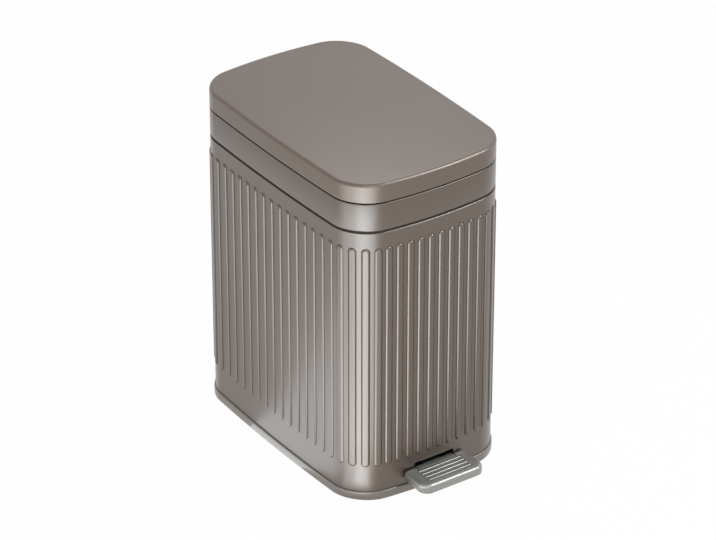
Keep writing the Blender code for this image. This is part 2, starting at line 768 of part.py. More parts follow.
def bracket_screw_places():
    z = HINGE_Z - BRACKET_SCREW_DROP
    return (("hinge_screw_left", -BRACKET_SCREW_X, z), ("hinge_screw_right", BRACKET_SCREW_X, z))


def leaf_screw_places():
    z = HINGE_Z + LEAF_SCREW_RISE
    return (("leaf_screw_left", -LEAF_SCREW_X, z), ("leaf_screw_right", LEAF_SCREW_X, z))


def make_hinge():
    inside = FACE_Y - SHORT_SIDE_BOW / 2
    plate_back = HINGE_Y - HINGE_STANDOFF + HINGE_PLATE
    axle = (0, HINGE_Y, HINGE_Z)
    bore_radius = HINGE_PIN_RADIUS + BORE_CLEARANCE
    low = (-BRACKET_HALF_WIDTH, inside, HINGE_Z - BRACKET_DROP)
    high = (BRACKET_HALF_WIDTH, plate_back, HINGE_Z - KNUCKLE_RADIUS / 3)
    bracket = add_piece("hinge_bracket", box_mesh(low, high), "bronze_metal")
    weld_on(bracket, "fixed_knuckle", pin_mesh(KNUCKLE_RADIUS, BRACKET_HALF_WIDTH - TOUCH_GAP, axle))
    outline = body_outline(TOUCH_GAP)
    fit = loft([(outline, COLLAR_BOTTOM - CUT_OVERRUN), (outline, HINGE_Z + CUT_OVERRUN)])
    cut(bracket, "collar_fit_cutter", fit)
    notch_low = (-LEAF_HALF_WIDTH - SIDE_PLAY, inside - CUT_OVERRUN, HINGE_Z - BRACKET_NOTCH_DROP)
    notch_high = (LEAF_HALF_WIDTH + SIDE_PLAY, REAR_Y + CUT_OVERRUN, HINGE_Z + CUT_OVERRUN)
    cut(bracket, "leaf_notch_cutter", box_mesh(notch_low, notch_high))
    cut(bracket, "fixed_bore_cutter", pin_mesh(bore_radius, BRACKET_HALF_WIDTH + CUT_OVERRUN, axle))

    leaf_low = (-LEAF_HALF_WIDTH, inside, HINGE_Z + LEAF_FOOT)
    leaf_high = (LEAF_HALF_WIDTH, plate_back, HINGE_Z + LEAF_RISE)
    leaf = add_piece("lid_hinge_leaf", box_mesh(leaf_low, leaf_high), "bronze_metal", lid_axis)
    fit = loft([(outline, HINGE_Z - CUT_OVERRUN), (outline, BIN_HEIGHT + CUT_OVERRUN)])
    cut(leaf, "lid_fit_cutter", fit)
    weld_on(leaf, "lid_knuckle", pin_mesh(KNUCKLE_RADIUS, LEAF_HALF_WIDTH - TOUCH_GAP, axle))
    cut(leaf, "lid_bore_cutter", pin_mesh(bore_radius, LEAF_HALF_WIDTH + CUT_OVERRUN, axle))

    add_piece("hinge_pin", pin_mesh(HINGE_PIN_RADIUS, BRACKET_HALF_WIDTH, axle), "zinc_steel")

    sizes = (SCREW_HEAD_RADIUS, SCREW_HEAD_HEIGHT, SCREW_SHANK_RADIUS, HINGE_SCREW_LENGTH)
    for places, plate, carrier in (
        (bracket_screw_places(), bracket, bin_middle),
        (leaf_screw_places(), leaf, lid_axis),
    ):
        for name, x, z in places:
            shaft = SCREW_SHANK_RADIUS + BORE_CLEARANCE
            hole = pin_mesh(shaft, HINGE_PLATE + CUT_OVERRUN, (x, plate_back, z), "Y", steps=SMALL_STEPS)
            cut(plate, name + "_hole", hole)
            mesh = headed_mesh(*sizes, (x, plate_back + TOUCH_GAP, z), "Y")
            add_piece(name, mesh, "zinc_steel", carrier)


def make_crank():
    top = LINER_BOTTOM - TOUCH_GAP
    bottom = top - CRANK_PLATE
    front = HINGE_Y - CRANK_PLATE_FRONT
    rear = HINGE_Y - CRANK_PLATE_REAR
    low = (-CRANK_PLATE_HALF_WIDTH, front, bottom)
    crank = add_piece("lid_crank", box_mesh(low, (CRANK_PLATE_HALF_WIDTH, rear, top)), "zinc_steel", lid_axis)
    ear_top = (top + bottom) / 2
    lobe = arc(CRANK_PIN_Y, CRANK_PIN_Z, CRANK_LOBE, -180, 0, SMALL_STEPS)
    ear_outline = [(rear, ear_top), (front, ear_top)] + lobe
    ear_in = ROD_THICKNESS / 2 + SIDE_PLAY
    for side, label in ((-1, "left"), (1, "right")):
        mesh = plate_mesh([ear_outline], CRANK_EAR, side * (ear_in + CRANK_EAR / 2))
        weld_on(crank, "crank_ear_" + label, mesh)
    pin_place = (0, CRANK_PIN_Y, CRANK_PIN_Z)
    half = ear_in + CRANK_EAR
    cut(crank, "crank_bore_cutter", pin_mesh(CRANK_PIN_RADIUS + BORE_CLEARANCE, half + CUT_OVERRUN, pin_place))
    add_piece("crank_pin", pin_mesh(CRANK_PIN_RADIUS, half + CRANK_PIN_END, pin_place), "zinc_steel", lid_axis)
    sizes = (CRANK_SCREW_HEAD_RADIUS, CRANK_SCREW_HEAD_HEIGHT, CRANK_SCREW_SHANK_RADIUS, CRANK_SCREW_LENGTH)
    for label, x, y in crank_screw_places():
        shaft = CRANK_SCREW_SHANK_RADIUS + BORE_CLEARANCE
        cut(crank, "crank_plate_hole_" + label, pin_mesh(shaft, CRANK_PLATE, (x, y, ear_top), "Z", steps=SMALL_STEPS))
        mesh = headed_mesh(*sizes, (x, y, bottom - TOUCH_GAP), "-Z")
        add_piece("crank_screw_" + label, mesh, "zinc_steel", lid_axis)


def make_push_rod():
    """A flat bar on edge: a head with a slot for the crank pin, and a foot with one for the lever pin."""
    slot_radius = CRANK_PIN_RADIUS + ROD_LIFT_PLAY
    slot_low = HINGE_Y - CRANK_RADIUS - CRANK_PIN_RADIUS - ROD_SLIDE_PLAY
    slot_high = CRANK_PIN_Y + CRANK_PIN_RADIUS + ROD_SLIDE_PLAY
    slot_middle = (slot_low + slot_high) / 2
    half_run = max((slot_high - slot_low) / 2 - slot_radius, WELD_DISTANCE)
    head_front = slot_low - ROD_HEAD_WALL
    head_rear = slot_high + ROD_HEAD_WALL
    head_low = CRANK_PIN_Z - slot_radius - ROD_HEAD_WALL
    head_high = CRANK_PIN_Z + slot_radius + ROD_HEAD_WALL
    bar_front = TAIL_Y - ROD_WIDTH / 2
    bar_rear = TAIL_Y + ROD_WIDTH / 2
    foot = arc(TAIL_Y, TAIL_Z, ROD_WIDTH / 2, -180, 0, SMALL_STEPS)
    outline = foot + [
        (bar_rear, head_low),
        (head_rear, head_low),
        (head_rear, head_high),
        (head_front, head_high),
        (head_front, head_low),
        (bar_front, head_low - ROD_HEAD_WALL),
    ]
    head_slot = slot_loop(slot_middle, CRANK_PIN_Z, half_run, slot_radius)
    foot_slot = slot_loop(TAIL_Y, TAIL_Z, ROD_FOOT_PLAY, LEVER_PIN_RADIUS + TOUCH_GAP)
    mesh = plate_mesh([outline, head_slot, foot_slot], ROD_THICKNESS)
    add_piece("push_rod", mesh, "zinc_steel", rod_axis)


def make_rod_guides():
    front = TAIL_Y - ROD_WIDTH / 2 - GUIDE_PLAY - GUIDE_FRONT_WALL
    wall_share = (2 * GUIDE_HALF_WIDTH / BIN_WIDTH) ** 2
    rear = FACE_Y - WALL_INSIDE - SHORT_SIDE_BOW * wall_share
    for label, z in (("lower", LOWER_GUIDE_Z), ("upper", BIN_HEIGHT - UPPER_GUIDE_DROP)):
        low = (-GUIDE_HALF_WIDTH, front, z)
        high = (GUIDE_HALF_WIDTH, rear, z + GUIDE_HEIGHT)
        guide = add_piece("rod_guide_" + label, box_mesh(low, high), "dark_plastic")
        half_x = ROD_THICKNESS / 2 + GUIDE_PLAY
        half_y = ROD_WIDTH / 2 + GUIDE_PLAY
        way_low = (-half_x, TAIL_Y - half_y, z - CUT_OVERRUN)
        way_high = (half_x, TAIL_Y + half_y, z + GUIDE_HEIGHT + CUT_OVERRUN)
        cut(guide, "rod_way_" + label, box_mesh(way_low, way_high))


def make_pedal_lever():
    """An upturned channel: level from the pad to the axle, then sloping down to its tail."""
    front = PAD_FRONT_Y + PAD_WALL + PAD_EDGE_ROLL
    tail_end = TAIL_Y + LEVER_END

    def profile(top_drop, bottom_drop, end_run):
        top = LEVER_TOP - top_drop
        bottom = LEVER_TOP - LEVER_HEIGHT - bottom_drop
        tail_top = TAIL_Z + LEVER_HEIGHT / 2 - top_drop
        tail_bottom = TAIL_Z - LEVER_HEIGHT / 2 - bottom_drop
        return [
            (front - end_run, top),
            (front - end_run, bottom),
            (PIVOT_Y, bottom),
            (tail_end, tail_bottom),
            (tail_end + end_run, tail_bottom),
            (tail_end + end_run, tail_top),
            (tail_end, tail_top),
            (PIVOT_Y, top),
        ]

    solid = profile(0, 0, 0)
    outline = [point for index, point in enumerate(solid) if index not in (4, 5)]
    lever = add_piece("pedal_lever", plate_mesh([outline], LEVER_WIDTH), "zinc_steel", pedal_axis)
    inside = plate_mesh([profile(LEVER_SHEET, CUT_OVERRUN, CUT_OVERRUN)], LEVER_WIDTH - 2 * LEVER_SHEET)
    cut(lever, "lever_inside_cutter", inside)
    low = (-LEVER_WEB_CUT_HALF_WIDTH, TAIL_Y - ROD_WIDTH / 2 - LEVER_SHEET, TAIL_Z)
    high = (LEVER_WEB_CUT_HALF_WIDTH, tail_end + CUT_OVERRUN, TAIL_Z + LEVER_HEIGHT + CUT_OVERRUN)
    cut(lever, "rod_gap_cutter", box_mesh(low, high))
    reach = LEVER_WIDTH / 2 + CUT_OVERRUN
    cut(lever, "lever_axle_bore", pin_mesh(AXLE_RADIUS + BORE_CLEARANCE, reach, (0, PIVOT_Y, PIVOT_Z)))
    cut(lever, "lever_pin_bore", pin_mesh(LEVER_PIN_RADIUS + BORE_CLEARANCE, reach, (0, TAIL_Y, TAIL_Z)))
    axle_half = LEVER_WIDTH / 2 + SIDE_PLAY + EAR_THICKNESS
    add_piece("pedal_axle", pin_mesh(AXLE_RADIUS, axle_half, (0, PIVOT_Y, PIVOT_Z)), "zinc_steel")
    pin = pin_mesh(LEVER_PIN_RADIUS, LEVER_WIDTH / 2, (0, TAIL_Y, TAIL_Z))
    add_piece("lever_pin", pin, "zinc_steel", pedal_axis)
    for label, x, y in rivet_places():
        shaft = RIVET_SHANK_RADIUS + BORE_CLEARANCE
        hole = pin_mesh(shaft, CUT_OVERRUN / 2, (x, y, LEVER_TOP), "Z", steps=SMALL_STEPS)
        cut(lever, "rivet_hole_" + label, hole)


def rivet_places():
    y = PAD_FRONT_Y + PAD_WALL + PAD_EDGE_ROLL + RIVET_SETBACK
    return (("left", -RIVET_X, y), ("right", RIVET_X, y))


def make_pedal_pad():
    bottom = PAD_TOP - PAD_DEPTH
    chamfer = PAD_WALL / 2
    levels = [(pad_outline(chamfer / 2), bottom), (pad_outline(0), bottom + chamfer)]
    for step in range(ROLL_STEPS + 1):
        angle = math.radians(90 * step / ROLL_STEPS)
        inset = PAD_EDGE_ROLL * (1 - math.cos(angle))
        levels.append((pad_outline(inset), PAD_TOP - PAD_EDGE_ROLL * (1 - math.sin(angle))))
    pad = add_piece("pedal_pad", loft(levels), "satin_nickel", pedal_axis)

    wing_rear = -FACE_Y - PAD_WALL_GAP
    tongue_rear = -FACE_Y + TONGUE_REACH
    wide = PAD_FRONT_HALF_WIDTH + CUT_OVERRUN
    ceiling = PAD_TOP - PAD_WALL
    above = PAD_TOP + CUT_OVERRUN
    below = bottom - CUT_OVERRUN
    hollow = [(x, min(y, wing_rear - PAD_WALL)) for x, y in pad_outline(PAD_WALL)]
    cut(pad, "pad_hollow_cutter", loft([(hollow, below), (hollow, ceiling)]))
    half = TONGUE_HALF_WIDTH - PAD_WALL
    low = (-half, wing_rear - 2 * PAD_WALL, below)
    cut(pad, "tongue_hollow_cutter", box_mesh(low, (half, tongue_rear + CUT_OVERRUN, ceiling)))
    for side, label in ((-1, "left"), (1, "right")):
        xs = sorted((side * TONGUE_HALF_WIDTH, side * wide))
        wing = box_mesh((xs[0], wing_rear, below), (xs[1], tongue_rear + CUT_OVERRUN, above))
        cut(pad, "wing_trim_" + label, wing)
        xs = sorted((side * TONGUE_HALF_WIDTH, side * (TONGUE_HALF_WIDTH + NOTCH_WIDTH)))
        notch = box_mesh((xs[0], wing_rear - NOTCH_DEPTH, below), (xs[1], wing_rear + CUT_OVERRUN, above))
        cut(pad, "wing_notch_" + label, notch)
    for index in range(GRIP_RIDGES):
        y = wing_rear - GRIP_FIRST - GRIP_PITCH * index
        sunk = PAD_TOP - PAD_WALL / 2
        half_foot = GRIP_WIDTH / 2
        half_crown = GRIP_WIDTH / 4
        loop = [
            (y - half_foot, sunk),
            (y + half_foot, sunk),
            (y + half_foot, PAD_TOP + WELD_DISTANCE),
            (y + half_crown, PAD_TOP + GRIP_HEIGHT),
            (y - half_crown, PAD_TOP + GRIP_HEIGHT),
            (y - half_foot, PAD_TOP + WELD_DISTANCE),
        ]
        weld_on(pad, "grip_ridge_%d" % (index + 1), plate_mesh([loop], 2 * GRIP_HALF_LENGTH))
    sizes = (RIVET_HEAD_RADIUS, RIVET_HEAD_HEIGHT, RIVET_SHANK_RADIUS, LEVER_SHEET + RIVET_GRIP)
    for label, x, y in rivet_places():
        shaft = RIVET_SHANK_RADIUS + BORE_CLEARANCE
        depth = RIVET_GRIP + TOUCH_GAP
        hole = pin_mesh(shaft, depth, (x, y, ceiling), "Z", steps=SMALL_STEPS)
        cut(pad, "pad_rivet_hole_" + label, hole)
        mesh = headed_mesh(*sizes, (x, y, LEVER_TOP - LEVER_SHEET - TOUCH_GAP), "-Z")
        add_piece("pad_rivet_" + label, mesh, "zinc_steel", pedal_axis)


def make_inner_bucket():
    rim_bottom = SHELF_TOP + TOUCH_GAP
    rim_top = rim_bottom + BUCKET_FLANGE_THICKNESS
    low = bucket_outline(-BUCKET_TAPER)
    pail = loft(
        [
            (bucket_outline(-BUCKET_TAPER - BUCKET_BOTTOM_CHAMFER), BUCKET_BOTTOM),
            (low, BUCKET_BOTTOM + BUCKET_BOTTOM_CHAMFER),
            (bucket_outline(0), rim_bottom),
            (bucket_outline(BUCKET_FLANGE), rim_bottom),
            (bucket_outline(BUCKET_FLANGE), rim_top),
            (bucket_outline(-BUCKET_WALL), rim_top),
            (bucket_outline(-BUCKET_TAPER - BUCKET_WALL), BUCKET_BOTTOM + BUCKET_BOTTOM_CHAMFER),
            (bucket_outline(-BUCKET_TAPER - BUCKET_BOTTOM_CHAMFER), BUCKET_BOTTOM + BUCKET_WALL),
        ]
    )
    bucket = add_piece("inner_bucket", pail, "bucket_plastic")
    half = BIN_WIDTH / 2 - BUCKET_SIDE_ROOM
    middle = (BUCKET_FRONT_ROOM - BUCKET_REAR_ROOM) / 2
    for side, label in ((-1, "left"), (1, "right")):
        xs = sorted((side * (half - BUCKET_WALL / 2), side * (half - BUCKET_WALL / 2 + LUG_THICKNESS)))
        sunk = rim_bottom + BUCKET_FLANGE_THICKNESS / 2
        lug = box_mesh((xs[0], middle - LUG_HALF_LENGTH, sunk), (xs[1], middle + LUG_HALF_LENGTH, rim_top + LUG_RISE))
        weld_on(bucket, "lift_lug_" + label, lug)


def main():
    make_body_shell()
    make_base()
    make_feet()
    make_collar()
    make_lid_shell()
    make_lid_liner()
    make_bumpers()
    make_hinge()
    make_crank()
    make_push_rod()
    make_rod_guides()
    make_pedal_lever()
    make_pedal_pad()
    make_inner_bucket()
    print("pedal_bin pieces:", sum(1 for piece in pieces.objects if piece.type == "MESH"))
    print("pedal turns %.3f degrees, rod travels %.2f mm" % (math.degrees(PEDAL_ANGLE), ROD_TRAVEL * 1000))


main()
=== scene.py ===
# %% [markdown]
# # A slim ribbed pedal bin
# The object is a narrow step bin in satin bronze metal: a wall pressed into upright ribs, a plain
# collar above a dark shadow gap, a flat lid with a rolled edge, and a nickel foot pad. The frame
# below already holds its working solids. This lesson dresses them: finer meshes for what the eye
# follows, and a finish made of nodes for every surface.

# %% Load the frame
import json
import math

import bmesh
import bpy
from mathutils import Matrix, Vector


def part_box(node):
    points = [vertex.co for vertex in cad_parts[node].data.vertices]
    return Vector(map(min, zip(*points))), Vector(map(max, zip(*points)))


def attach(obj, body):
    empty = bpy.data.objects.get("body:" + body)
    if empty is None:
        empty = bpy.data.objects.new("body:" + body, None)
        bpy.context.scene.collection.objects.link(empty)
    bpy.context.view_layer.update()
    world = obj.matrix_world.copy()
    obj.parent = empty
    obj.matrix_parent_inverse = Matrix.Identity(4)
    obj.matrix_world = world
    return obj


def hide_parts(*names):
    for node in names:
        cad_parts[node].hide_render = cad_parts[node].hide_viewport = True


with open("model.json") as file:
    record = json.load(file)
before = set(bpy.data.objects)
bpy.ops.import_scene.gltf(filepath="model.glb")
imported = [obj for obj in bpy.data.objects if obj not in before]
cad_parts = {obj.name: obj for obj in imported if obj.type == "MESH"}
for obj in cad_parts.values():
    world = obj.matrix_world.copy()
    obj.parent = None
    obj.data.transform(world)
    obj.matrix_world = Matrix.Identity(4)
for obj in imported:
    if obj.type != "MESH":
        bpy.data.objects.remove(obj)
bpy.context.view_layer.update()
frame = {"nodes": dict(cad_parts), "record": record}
nodes = frame["nodes"]

# %% [markdown]
# The sizes come from the frame's own boxes where a box can give them. The middle of the body isn't
# the world origin, because the pedal and the hinge stick out by different amounts, so every plan
# outline is moved by the lid's middle. The bow of the sides is too slight for a box to show, so it
# is written out, as are the ribs.

# %% Driving sizes, in metres
lid_low, lid_high = (Vector(corner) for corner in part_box("lid_shell"))
collar_low, collar_high = (Vector(corner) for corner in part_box("collar"))
wall_low, wall_high = (Vector(corner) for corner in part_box("body_shell"))
base_low, base_high = (Vector(corner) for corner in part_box("base"))
pad_low, pad_high = (Vector(corner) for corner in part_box("pedal_pad"))
bucket_low, bucket_high = (Vector(corner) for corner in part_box("inner_bucket"))

WIDTH = 0.1978
DEPTH = 0.3020
MIDDLE_Y = (lid_low.y + lid_high.y) / 2
TOP = lid_high.z
CORNER = 0.0365
LONG_BOW = 0.0041
SHORT_BOW = 0.0095
GAP = 0.0003
SHEET = 0.0008
COLLAR_SEAM = 0.0028
CUT = 0.01
COLLAR_BOTTOM = wall_high.z + COLLAR_SEAM
BASE_TOP = wall_low.z - GAP
FACE = MIDDLE_Y - DEPTH / 2
print("body middle is at y = %.5f, lid from %.4f to %.4f" % (MIDDLE_Y, lid_low.z, TOP))

# %% [markdown]
# Most of the bin is one plan outline at several heights: a rounded rectangle whose sides bow out.
# It could be a curve with a bevel object, but a curve turns its profile at tight corners. A list of
# points that a formula bows keeps every level matched, so the levels can be skinned one to the next.

# %% Plan outlines
CORNER_STEPS = 18
SIDE_STEPS = 16


def bow(x, y):
    pull_x = 1 - 2 * LONG_BOW / WIDTH * (2 * y / DEPTH) ** 2
    pull_y = 1 - 2 * SHORT_BOW / DEPTH * (2 * x / WIDTH) ** 2
    return x * pull_x, y * pull_y


def rounded(half_x, half_y, radius, middle_y=0.0):
    """Points of a rounded rectangle, anticlockwise from the start of its front right corner."""
    arcs = ((1, -1, -90), (1, 1, 0), (-1, 1, 90), (-1, -1, 180))
    points = []
    for number, (sx, sy, start) in enumerate(arcs):
        cx = sx * (half_x - radius)
        cy = middle_y + sy * (half_y - radius)
        for step in range(CORNER_STEPS + 1):
            turn = math.radians(start + 90 * step / CORNER_STEPS)
            points.append(Vector((cx + radius * math.cos(turn), cy + radius * math.sin(turn))))
        nsx, nsy, nstart = arcs[(number + 1) % 4]
        turn = math.radians(nstart)
        nx = nsx * (half_x - radius) + radius * math.cos(turn)
        ny = middle_y + nsy * (half_y - radius) + radius * math.sin(turn)
        begin = points[-1]
        for step in range(1, SIDE_STEPS):
            points.append(begin.lerp(Vector((nx, ny)), step / SIDE_STEPS))
    return points


def plan(offset):
    """The bin's outline, moved out by offset, in world places."""
    plain = rounded(WIDTH / 2 + offset, DEPTH / 2 + offset, CORNER + offset)
    return [(bow(*point)[0], bow(*point)[1] + MIDDLE_Y) for point in plain]


print("points in one outline:", len(plan(0)))

# %% [markdown]
# These few tools make every piece below. A skin over matched outlines is quick to write and gives
# even quads, which shade without pinches. Its flat ends are filled with one face each, and a ring
# joins its last level to its first, as a moulded ring needs. Openings could be built into the skin
# too, but a Boolean cut leaves the outlines simple. Its result is kept as plain mesh, so that each
# piece carries no modifier.

# %% Skins, boxes and finishing touches
scene = bpy.context.scene


def add_object(name, bm):
    mesh = bpy.data.meshes.new(name)
    bm.to_mesh(mesh)
    bm.free()
    thing = bpy.data.objects.new(name, mesh)
    scene.collection.objects.link(thing)
    return thing


def skin(name, levels, ring=False, tube=False):
    bm = bmesh.new()
    rows = [[bm.verts.new((x, y, z)) for x, y in outline] for outline, z in levels]
    pairs = list(zip(rows, rows[1:]))
    if ring:
        pairs.append((rows[-1], rows[0]))
    for low, high in pairs:
        count = len(low)
        for i in range(count):
            j = (i + 1) % count
            bm.faces.new((low[i], low[j], high[j], high[i]))
    if not ring and not tube:
        bm.faces.new(reversed(rows[0]))
        bm.faces.new(rows[-1])
    if not tube:
        bmesh.ops.recalc_face_normals(bm, faces=bm.faces)
    return add_object(name, bm)


def smooth(thing, degrees=30):
    thing.data.shade_smooth()
    thing.data.set_sharp_from_angle(angle=math.radians(degrees))
    return thing


def eased(offset, z, radius, steps=3, rising=True):
    """Levels round a quarter circle, from an upright side to a flat face at the height z."""
    levels = []
    for step in range(steps + 1):
        turn = math.pi / 2 * step / steps
        lift = radius * math.sin(turn) - radius
        level = z + lift if rising else z - lift
        levels.append((plan(offset - radius * (1 - math.cos(turn))), level))
    return levels


def eased_foot(offset, z, radius, steps=3):
    """Levels round the bottom edge of an upright side, from underneath."""
    return list(reversed(eased(offset, z, radius, steps, rising=False)))


def box(name, low, high):
    bm = bmesh.new()
    bmesh.ops.create_cube(bm, size=1)
    for vert in bm.verts:
        for axis in range(3):
            vert.co[axis] = (low[axis] + high[axis]) / 2 + vert.co[axis] * (high[axis] - low[axis])
    return add_object(name, bm)


def apply_all(thing):
    """Makes the evaluated mesh the object's own, so that no modifier is left on the piece."""
    bpy.context.view_layer.update()
    depsgraph = bpy.context.evaluated_depsgraph_get()
    mesh = bpy.data.meshes.new_from_object(thing.evaluated_get(depsgraph))
    thing.modifiers.clear()
    thing.data = mesh


def trim(thing, cutter, operation="DIFFERENCE"):
    step = thing.modifiers.new("trim", "BOOLEAN")
    step.operation = operation
    step.solver = "EXACT"
    step.object = cutter
    apply_all(thing)
    bpy.data.objects.remove(cutter, do_unlink=True)


def dress(thing, node, finish, body):
    """What every replacing piece needs: finish, slot, body and the node that it stands for."""
    if not thing.data.materials:
        thing.data.materials.append(finish)
    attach(thing, body)
    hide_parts(node)


print("levels in a rounded edge:", len(eased(0, TOP, SHEET)))

# %% [markdown]
# Every finish here is a tree of nodes. Linking Math nodes one by one is slow to read, and shader
# maths reads best as maths. So a small class wraps a socket, and its operators add Math nodes.
# Everything else goes through one method, which sets a node's own settings before it fills or links
# the node's sockets.

# %% Shader expressions
class Value:
    def __init__(self, nodes, socket):
        self.nodes = nodes
        self.socket = socket

    def math(self, operation, other):
        return self.nodes.node("ShaderNodeMath", {"operation": operation}, [self, other])

    def __add__(self, other):
        return self.math("ADD", other)

    __radd__ = __add__

    def __mul__(self, other):
        return self.math("MULTIPLY", other)

    def __sub__(self, other):
        return self.math("SUBTRACT", other)

    def clamped(self):
        return self.nodes.node("ShaderNodeClamp", {}, [self, 0.0, 1.0])


class Nodes:
    """The nodes of a material or of the world."""

    def __init__(self, owner):
        owner.use_nodes = True
        self.tree = owner.node_tree

    def node(self, kind, settings=None, sockets=None, out=0):
        made = self.tree.nodes.new(kind)
        for key, value in (settings or {}).items():
            setattr(made, key, value)
        pairs = sockets.items() if isinstance(sockets, dict) else enumerate(sockets or [])
        for key, value in pairs:
            if isinstance(value, Value):
                self.tree.links.new(value.socket, made.inputs[key])
            else:
                made.inputs[key].default_value = value
        return Value(self, made.outputs[out])

    def seen(self):
        """One for rays that see the background: straight, in gloss, or through something clear."""
        names = ("Is Camera Ray", "Is Glossy Ray", "Is Transmission Ray")
        straight, gloss, clear = (self.node("ShaderNodeLightPath", {}, {}, name) for name in names)
        return (straight + gloss + clear).clamped()


class Finish(Nodes):
    """A material, with its shader and the patterns that its finish is made of."""

    def __init__(self, name, **constants):
        self.material = bpy.data.materials.new(name)
        super().__init__(self.material)
        self.shader = self.tree.nodes["Principled BSDF"]
        for socket, value in constants.items():
            self.shader.inputs[socket.replace("_", " ")].default_value = value

    def place(self, stretch=(1, 1, 1)):
        """Where a point lies on the object, in metres, stretched for streaks and grain."""
        here = self.node("ShaderNodeTexCoord", {}, {}, "Object")
        return self.node("ShaderNodeVectorMath", {"operation": "MULTIPLY"}, [here, stretch])

    def noise(self, scale, detail=2.0, rough=0.5, stretch=(1, 1, 1)):
        sockets = {"Vector": self.place(stretch), "Scale": scale, "Detail": detail, "Roughness": rough}
        return self.node("ShaderNodeTexNoise", {}, sockets, "Fac")

    def blend(self, factor, first, second):
        """A Mix node has sockets for each data type. The numbers here are those of its colours."""
        sockets = {0: factor, 6: first, 7: second}
        return self.node("ShaderNodeMix", {"data_type": "RGBA"}, sockets, 2)

    def feed(self, socket, value):
        self.tree.links.new(value.socket, self.shader.inputs[socket])

    def bump(self, height, distance, strength=1.0):
        sockets = {"Height": height, "Distance": distance, "Strength": strength}
        self.feed("Normal", self.node("ShaderNodeBump", {}, sockets))


def rgb(red, green, blue):
    """A colour as it looks on screen, turned into the linear values that shaders use."""
    shares = [channel / 255 for channel in (red, green, blue)]
    return tuple(((share + 0.055) / 1.055) ** 2.4 for share in shares)


print("middle grey as the shader sees it: %.3f" % rgb(128, 128, 128)[0])

# %% [markdown]
# The outside is steel under a fine metallic lacquer: a dark warm bronze with flakes, under a clear
# layer. A plain metal of this colour would tint every highlight brown, but on the real bin the
# highlights are nearly white. A dark base under a strong coat gives that. The flakes are a very fine
# bump and a slight change of roughness, and soft clouds keep the flat faces from looking like paper.
# A darker lacquer round each pressed rib paints the shade in its crease, and the base is sprayed in a
# paler batch.

# %% Bronze lacquer
CLOUD_SCALE = 7.0
FLAKE_SCALE = 1900.0
FLAKE_DEPTH = 0.000012


def bronze(name, streak, coat, shades):
    made = Finish(name, Metallic=0.85, IOR=1.5, Coat_Roughness=0.32, Coat_IOR=1.7)
    cloud = made.noise(CLOUD_SCALE, 3.0, 0.5, streak)
    flake = made.noise(FLAKE_SCALE, 1.0, 0.5)
    deep, warm, pale = ((*rgb(*shade), 1) for shade in shades)
    colour = made.blend(cloud, warm, pale)
    made.feed("Base Color", made.blend((flake * 2.0 - 0.9).clamped() * 0.5, colour, deep))
    made.feed("Roughness", 0.44 + cloud * 0.05 + flake * 0.05)
    made.feed("Coat Weight", coat + cloud * 0.10)
    made.bump(flake, FLAKE_DEPTH, 0.35)
    return made.material


WALL_SHADES = ((72, 58, 46), (82, 67, 54), (89, 74, 61))
LID_SHADES = ((86, 71, 59), (96, 81, 69), (102, 87, 75))
# Darker tones for the faces round each rib: painted shade in the creases.
PAINTED_CREASE_SHADE_TONES = ((50, 40, 32), (56, 45, 36), (62, 50, 40))
BASE_SHADES = ((100, 91, 82), (108, 99, 90), (114, 105, 96))
lacquer = bronze("bronze_lacquer", (1.0, 1.0, 1.0), 0.80, WALL_SHADES)
lid_lacquer = bronze("lid_lacquer", (1.0, 0.6, 1.0), 0.60, LID_SHADES)
painted_crease_shade = bronze("painted_crease_shade", (1.0, 1.0, 1.0), 0.10, PAINTED_CREASE_SHADE_TONES)
base_lacquer = bronze("base_lacquer", (1.0, 1.0, 1.0), 0.80, BASE_SHADES)
print("bronze lacquers:", lacquer.name, lid_lacquer.name, painted_crease_shade.name, base_lacquer.name)

# %% [markdown]
# The foot pad is nickel-plated and brushed from side to side. The shader's own anisotropy would draw
# out the highlights and leave the surface blank, so the grain is noise drawn out along X, which also
# shows close up. The plated steel inside is duller, with the cloudy spangle that zinc leaves.

# %% Nickel and zinc
GRAIN_SCALE = 420.0
SPANGLE_SCALE = 30.0
GRAIN_DEPTH = 0.00002
DIM_SHARE = 0.90


def brushed(name, colour, stretch, rough, metallic):
    made = Finish(name, Metallic=metallic)
    line = made.noise(GRAIN_SCALE, 4.0, 0.6, stretch)
    cloud = made.noise(SPANGLE_SCALE, 2.0, 0.5)
    pale = (*rgb(*colour), 1)
    dim = (*rgb(*(channel * DIM_SHARE for channel in colour)), 1)
    made.feed("Base Color", made.blend(cloud, dim, pale))
    made.feed("Roughness", rough - 0.06 + line * 0.12)
    made.bump(line, GRAIN_DEPTH, 0.4)
    return made.material


nickel = brushed("satin_nickel", (160, 156, 149), (0.03, 1, 1), 0.38, 0.75)
# A darker nickel that paints the shade at the grip bars' feet and in the two cuts.
painted_shade_nickel = brushed("painted_shade_nickel", (84, 79, 73), (0.03, 1, 1), 0.55, 0.60)
zinc = brushed("zinc_plate", (172, 174, 176), (1, 1, 1), 0.38, 1.0)
print("plated finishes:", nickel.name, painted_shade_nickel.name, zinc.name)

# %% [markdown]
# Moulded plastic has a fine eroded grain. Noise could stand for it, but a Voronoi cell pattern gives
# the grain its small plateaus. Rubber is the same idea, coarser and without any shine.

# %% Plastics and rubber
MOTTLE_SCALE = 22.0
PALE_SHARE = 1.08


def moulded(name, colour, rough, grain, depth):
    made = Finish(name, Metallic=0.0, Specular_IOR_Level=0.3)
    sockets = {"Vector": made.place(), "Scale": grain}
    cells = made.node("ShaderNodeTexVoronoi", {}, sockets, "Distance")
    cloud = made.noise(MOTTLE_SCALE, 2.0, 0.5)
    pale = (*rgb(*(channel * PALE_SHARE for channel in colour)), 1)
    made.feed("Base Color", made.blend(cloud, (*rgb(*colour), 1), pale))
    made.feed("Roughness", rough - 0.04 + cloud * 0.08)
    made.bump(cells, depth, 0.5)
    return made.material


